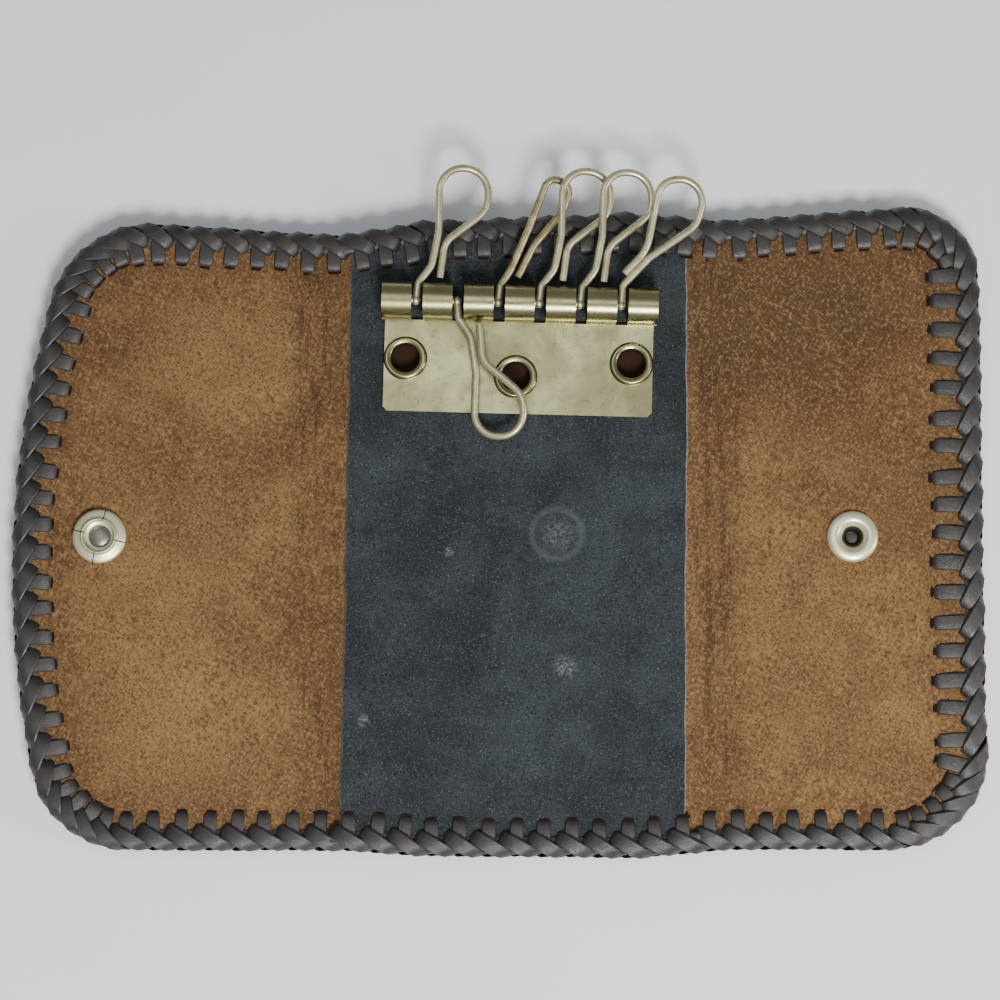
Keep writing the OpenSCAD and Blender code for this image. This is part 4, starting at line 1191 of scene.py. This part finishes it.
def laced(name, chosen, seed, front=True):
    """Runs the lacing tree on some stitches and returns the plain mesh."""
    points = stitch_points(name, chosen, 0 if front else 0.5)
    modifier = points.modifiers.new("lacing", "NODES")
    modifier.node_group = lacing_tree
    values = {"Turn variation": 0.045, "Size variation": 0.035, "Seed": seed, "Lace": lace,
              "Slit shadow": painted_slit_shadow}
    if front:
        values.update({"Strap": strap, "Core": core, "Leg": leg, "Rim": rim_core, "Slit": slit})
    else:
        values.update({"Strap": back_strap, "Core": back_core, "Leg": back_leg})
    for key, value in values.items():
        modifier[socket_ids[key]] = value
    graph = bpy.context.evaluated_depsgraph_get()
    mesh = bpy.data.meshes.new_from_object(
        points.evaluated_get(graph), preserve_all_data_layers=True, depsgraph=graph)
    bpy.data.objects.remove(points)
    return mesh


LACED_NODES = {
    "left_flap": ("left_flap_lacing",), "left_strip": ("left_strip_lacing",),
    "centre": ("centre_top_lacing", "centre_bottom_lacing"), "right_strip": ("right_strip_lacing",),
    "right_flap": ("right_flap_lacing",),
}
lacings = {}
for seed, body in enumerate(LACED_NODES):
    chosen = [s for s in stitches if s["body"] == body]
    work = bmesh.new()
    for front in (False, True):
        part = laced(body, chosen, 20 + seed, front)
        work.from_mesh(part)
    whole = finished(work, "lacing_" + body)
    slit_number = [m.name if m else "" for m in part.materials].index(painted_slit_shadow.name)
    kinds = np.zeros(len(whole.polygons), np.int32)
    whole.polygons.foreach_get("material_index", kinds)
    whole.polygons.foreach_set("material_index", (kinds == slit_number).astype(np.int32))
    whole.materials.append(lace)
    whole.materials.append(painted_slit_shadow)
    lacings[body] = linked("lacing_" + body, whole)
    print(body, "stitches:", len(chosen), "faces:", len(whole.polygons))
for shape in shapes:
    bpy.data.objects.remove(shape)

# %% [markdown]
# ## Turned pieces: eyelets and snap rims
#
# Eyelets and snap parts are pressed from thin sheet, so their rims are rolled and catch a thin bright
# ring of light. A profile spun round its own axis gives that rounding. The profile is a closed loop of
# radius and height, so the piece is a closed ring. The snap's socket is also cut by four fine slits,
# which let it spring open.

# %% Spin a profile
def turned_ring(name, centre, profile, finish, segments=96):
    """A closed ring: a profile of (radius, height above the leather) spun round an upright axis at centre."""
    loop = np.array(profile, float) + (0.0, LEATHER_TOP)
    count = len(loop)
    angles = np.linspace(0, 2 * math.pi, segments, endpoint=False)
    points = [(centre[0] + r * math.cos(a), centre[1] + r * math.sin(a), z) for a in angles for r, z in loop]
    faces = []
    for i in range(segments):
        for j in range(count):
            a, b = i * count + j, i * count + (j + 1) % count
            c, d = (i + 1) % segments * count + (j + 1) % count, (i + 1) % segments * count + j
            faces.append((a, b, c, d))
    mesh = made_mesh(name, points, faces, 60)
    mesh.materials.append(finish)
    return linked(name, mesh)


def joined(name, pieces):
    """Several pieces made one mesh, under a new name."""
    work = bmesh.new()
    for piece in pieces:
        work.from_mesh(piece.data)
    mesh = finished(work, name)
    mesh.materials.append(pieces[0].data.materials[0])
    for piece in pieces:
        bpy.data.objects.remove(piece)
    return linked(name, mesh)


# %% Eyelets of the plate
EYELET_PROFILE = (
    (2.3, 0.0), (2.3, 1.6), (2.33, 1.95), (2.43, 2.16), (2.6, 2.27), (2.8, 2.31), (3.0, 2.38), (3.18, 2.38),
    (3.36, 2.24), (3.5, 1.98), (3.57, 1.72), (3.6, 1.62), (3.55, 1.58), (3.2, 1.6), (2.55, 1.58), (2.5, 0.0),
)
rings = []
for centre in loose_centres("plate_eyelets"):
    rings.append(turned_ring("eyelet", centre, EYELET_PROFILE, plate_nickel, 72))
eyelets = joined("plate_eyelets_rolled", rings)
print("eyelets:", len(rings), "faces:", len(eyelets.data.polygons))

# %% Socket and eyelet of the snap
SOCKET_PROFILE = (
    (4.3, 0.02), (4.4, 0.14), (4.42, 0.4), (4.36, 0.66), (4.2, 0.86), (3.9, 1.0), (3.5, 1.12), (3.12, 1.22),
    (2.94, 1.36), (2.9, 1.58), (2.85, 1.78), (2.77, 1.88), (2.67, 1.88), (2.59, 1.76), (2.56, 1.5),
    (2.56, 0.3), (2.5, 0.2), (1.54, 0.2), (1.54, 0.02),
)
FUNNEL_PROFILE = (
    (4.15, 0.02), (4.2, 0.14), (4.16, 0.34), (4.0, 0.55), (3.7, 0.74), (3.3, 0.86), (2.95, 0.9), (2.66, 0.86),
    (2.4, 0.72), (2.15, 0.48), (1.9, 0.2), (1.68, 0.06), (1.42, -0.1), (1.15, -0.4), (0.98, -0.8),
    (0.92, -1.2), (1.2, -1.2), (1.35, -0.4), (1.5, 0.02),
)
SLIT_TURN, SLIT_WIDTH = -14.0, 0.16
SLIT_SIZE = Vector((2.4, SLIT_WIDTH, 1.6))
SLIT_MIDDLE = Vector((3.6, 0.0, 1.2))
socket = turned_ring("snap_socket_ring", snap_centres["snap_socket"], SOCKET_PROFILE, snap_nickel)
stud_rim = turned_ring("snap_stud_funnel", snap_centres["stud_eyelet"], FUNNEL_PROFILE, snap_nickel)
socket_foot = Vector((*snap_centres["snap_socket"][:2], LEATHER_TOP))
blades = bmesh.new()
for quarter in range(4):
    turn = Matrix.Rotation(math.radians(SLIT_TURN + 90 * quarter), 3, "Z")
    for vertex in bmesh.ops.create_cube(blades, size=1.0)["verts"]:
        vertex.co = (socket_foot + turn @ (SLIT_MIDDLE + vertex.co * SLIT_SIZE)) * MM
slit_blades = linked("slit_blades", finished(blades, "slit_blades"))
# The walls of the socket's four slits get the painted slit shadow.
slit_blades.data.materials.append(painted_slit_shadow)
socket.data.materials.append(painted_slit_shadow)
cut_with(socket, slit_blades)
print("snap pieces:", socket.name, len(socket.data.polygons), stud_rim.name, len(stud_rim.data.polygons))

# %% [markdown]
# ## Finishes of the metal parts
#
# The plate, hooks, cap and stud already have their true shapes, so they stay CAD nodes. Each gets its
# metal in its material slots. The third hook is more tarnished than the others.

# %% Metal on the CAD nodes
METALS = {
    "key_plate": plate_nickel, "plate_eyelets": plate_nickel,
    "snap_socket": snap_nickel, "snap_cap": cap_metal, "snap_stud": snap_nickel, "stud_eyelet": snap_nickel,
    **{"key_hook_" + str(number): wire_nickel for number in range(1, 7)},
    "key_hook_3": old_wire_nickel,
}
TURNED = {eyelets: "plate_eyelets", socket: "snap_socket", stud_rim: "stud_eyelet"}
for node, metal in METALS.items():
    for material_slot in frame["nodes"][node].material_slots:
        material_slot.material = metal
print("metal nodes:", len(METALS))

# %% [markdown]
# ## Floor
#
# A wide pale sheet under the case, matt, with the faintest cloudiness.

# %% Floor
floor_finish, tree, shader, place = new_material("floor_pale", Roughness=0.8, Specular_IOR_Level=0.25)
cloudy = noise(tree, place, 60.0, 3.0)
cloudy = mix_colour(tree, cloudy, srgb(214, 216, 219), srgb(224, 226, 228))
tree.links.new(cloudy, shader.inputs["Base Color"])
FLOOR_SIZE = 3.0
floor_mesh = bpy.data.meshes.new("floor")
half = FLOOR_SIZE / 2
corners = [(-half, -half, 0), (half, -half, 0), (half, half, 0), (-half, half, 0)]
floor_mesh.from_pydata(corners, [], [(0, 1, 2, 3)])
floor_mesh.materials.append(floor_finish)
floor = linked("floor", floor_mesh)
print("floor:", FLOOR_SIZE, "m wide")

# %% [markdown]
# ## Joining the pieces to the bodies
#
# Lacing rides on the body that it is sewn to. Leather and liner only have their placement baked into
# their meshes; they bend across no hinge. Every soft piece stands for the CAD nodes that it replaces.


def bend(piece):
    """Bakes a piece's placement into its mesh; it blends nothing across a hinge."""
    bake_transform(piece)


bend(leather_middle)
bend(leather_left_flap)
bend(leather_right_bend)
bend(leather_right_flap)
bend(liner)
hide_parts("centre_panel", "left_strip")
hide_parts("right_strip")
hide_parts("left_flap")
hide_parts("right_flap")
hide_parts("liner", "liner_left_edge")
for piece, node in TURNED.items():
    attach(piece, frame["nodes"][node]["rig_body"])
    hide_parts(node)
for body, piece in lacings.items():
    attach(piece, body)
    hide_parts(*LACED_NODES[body])
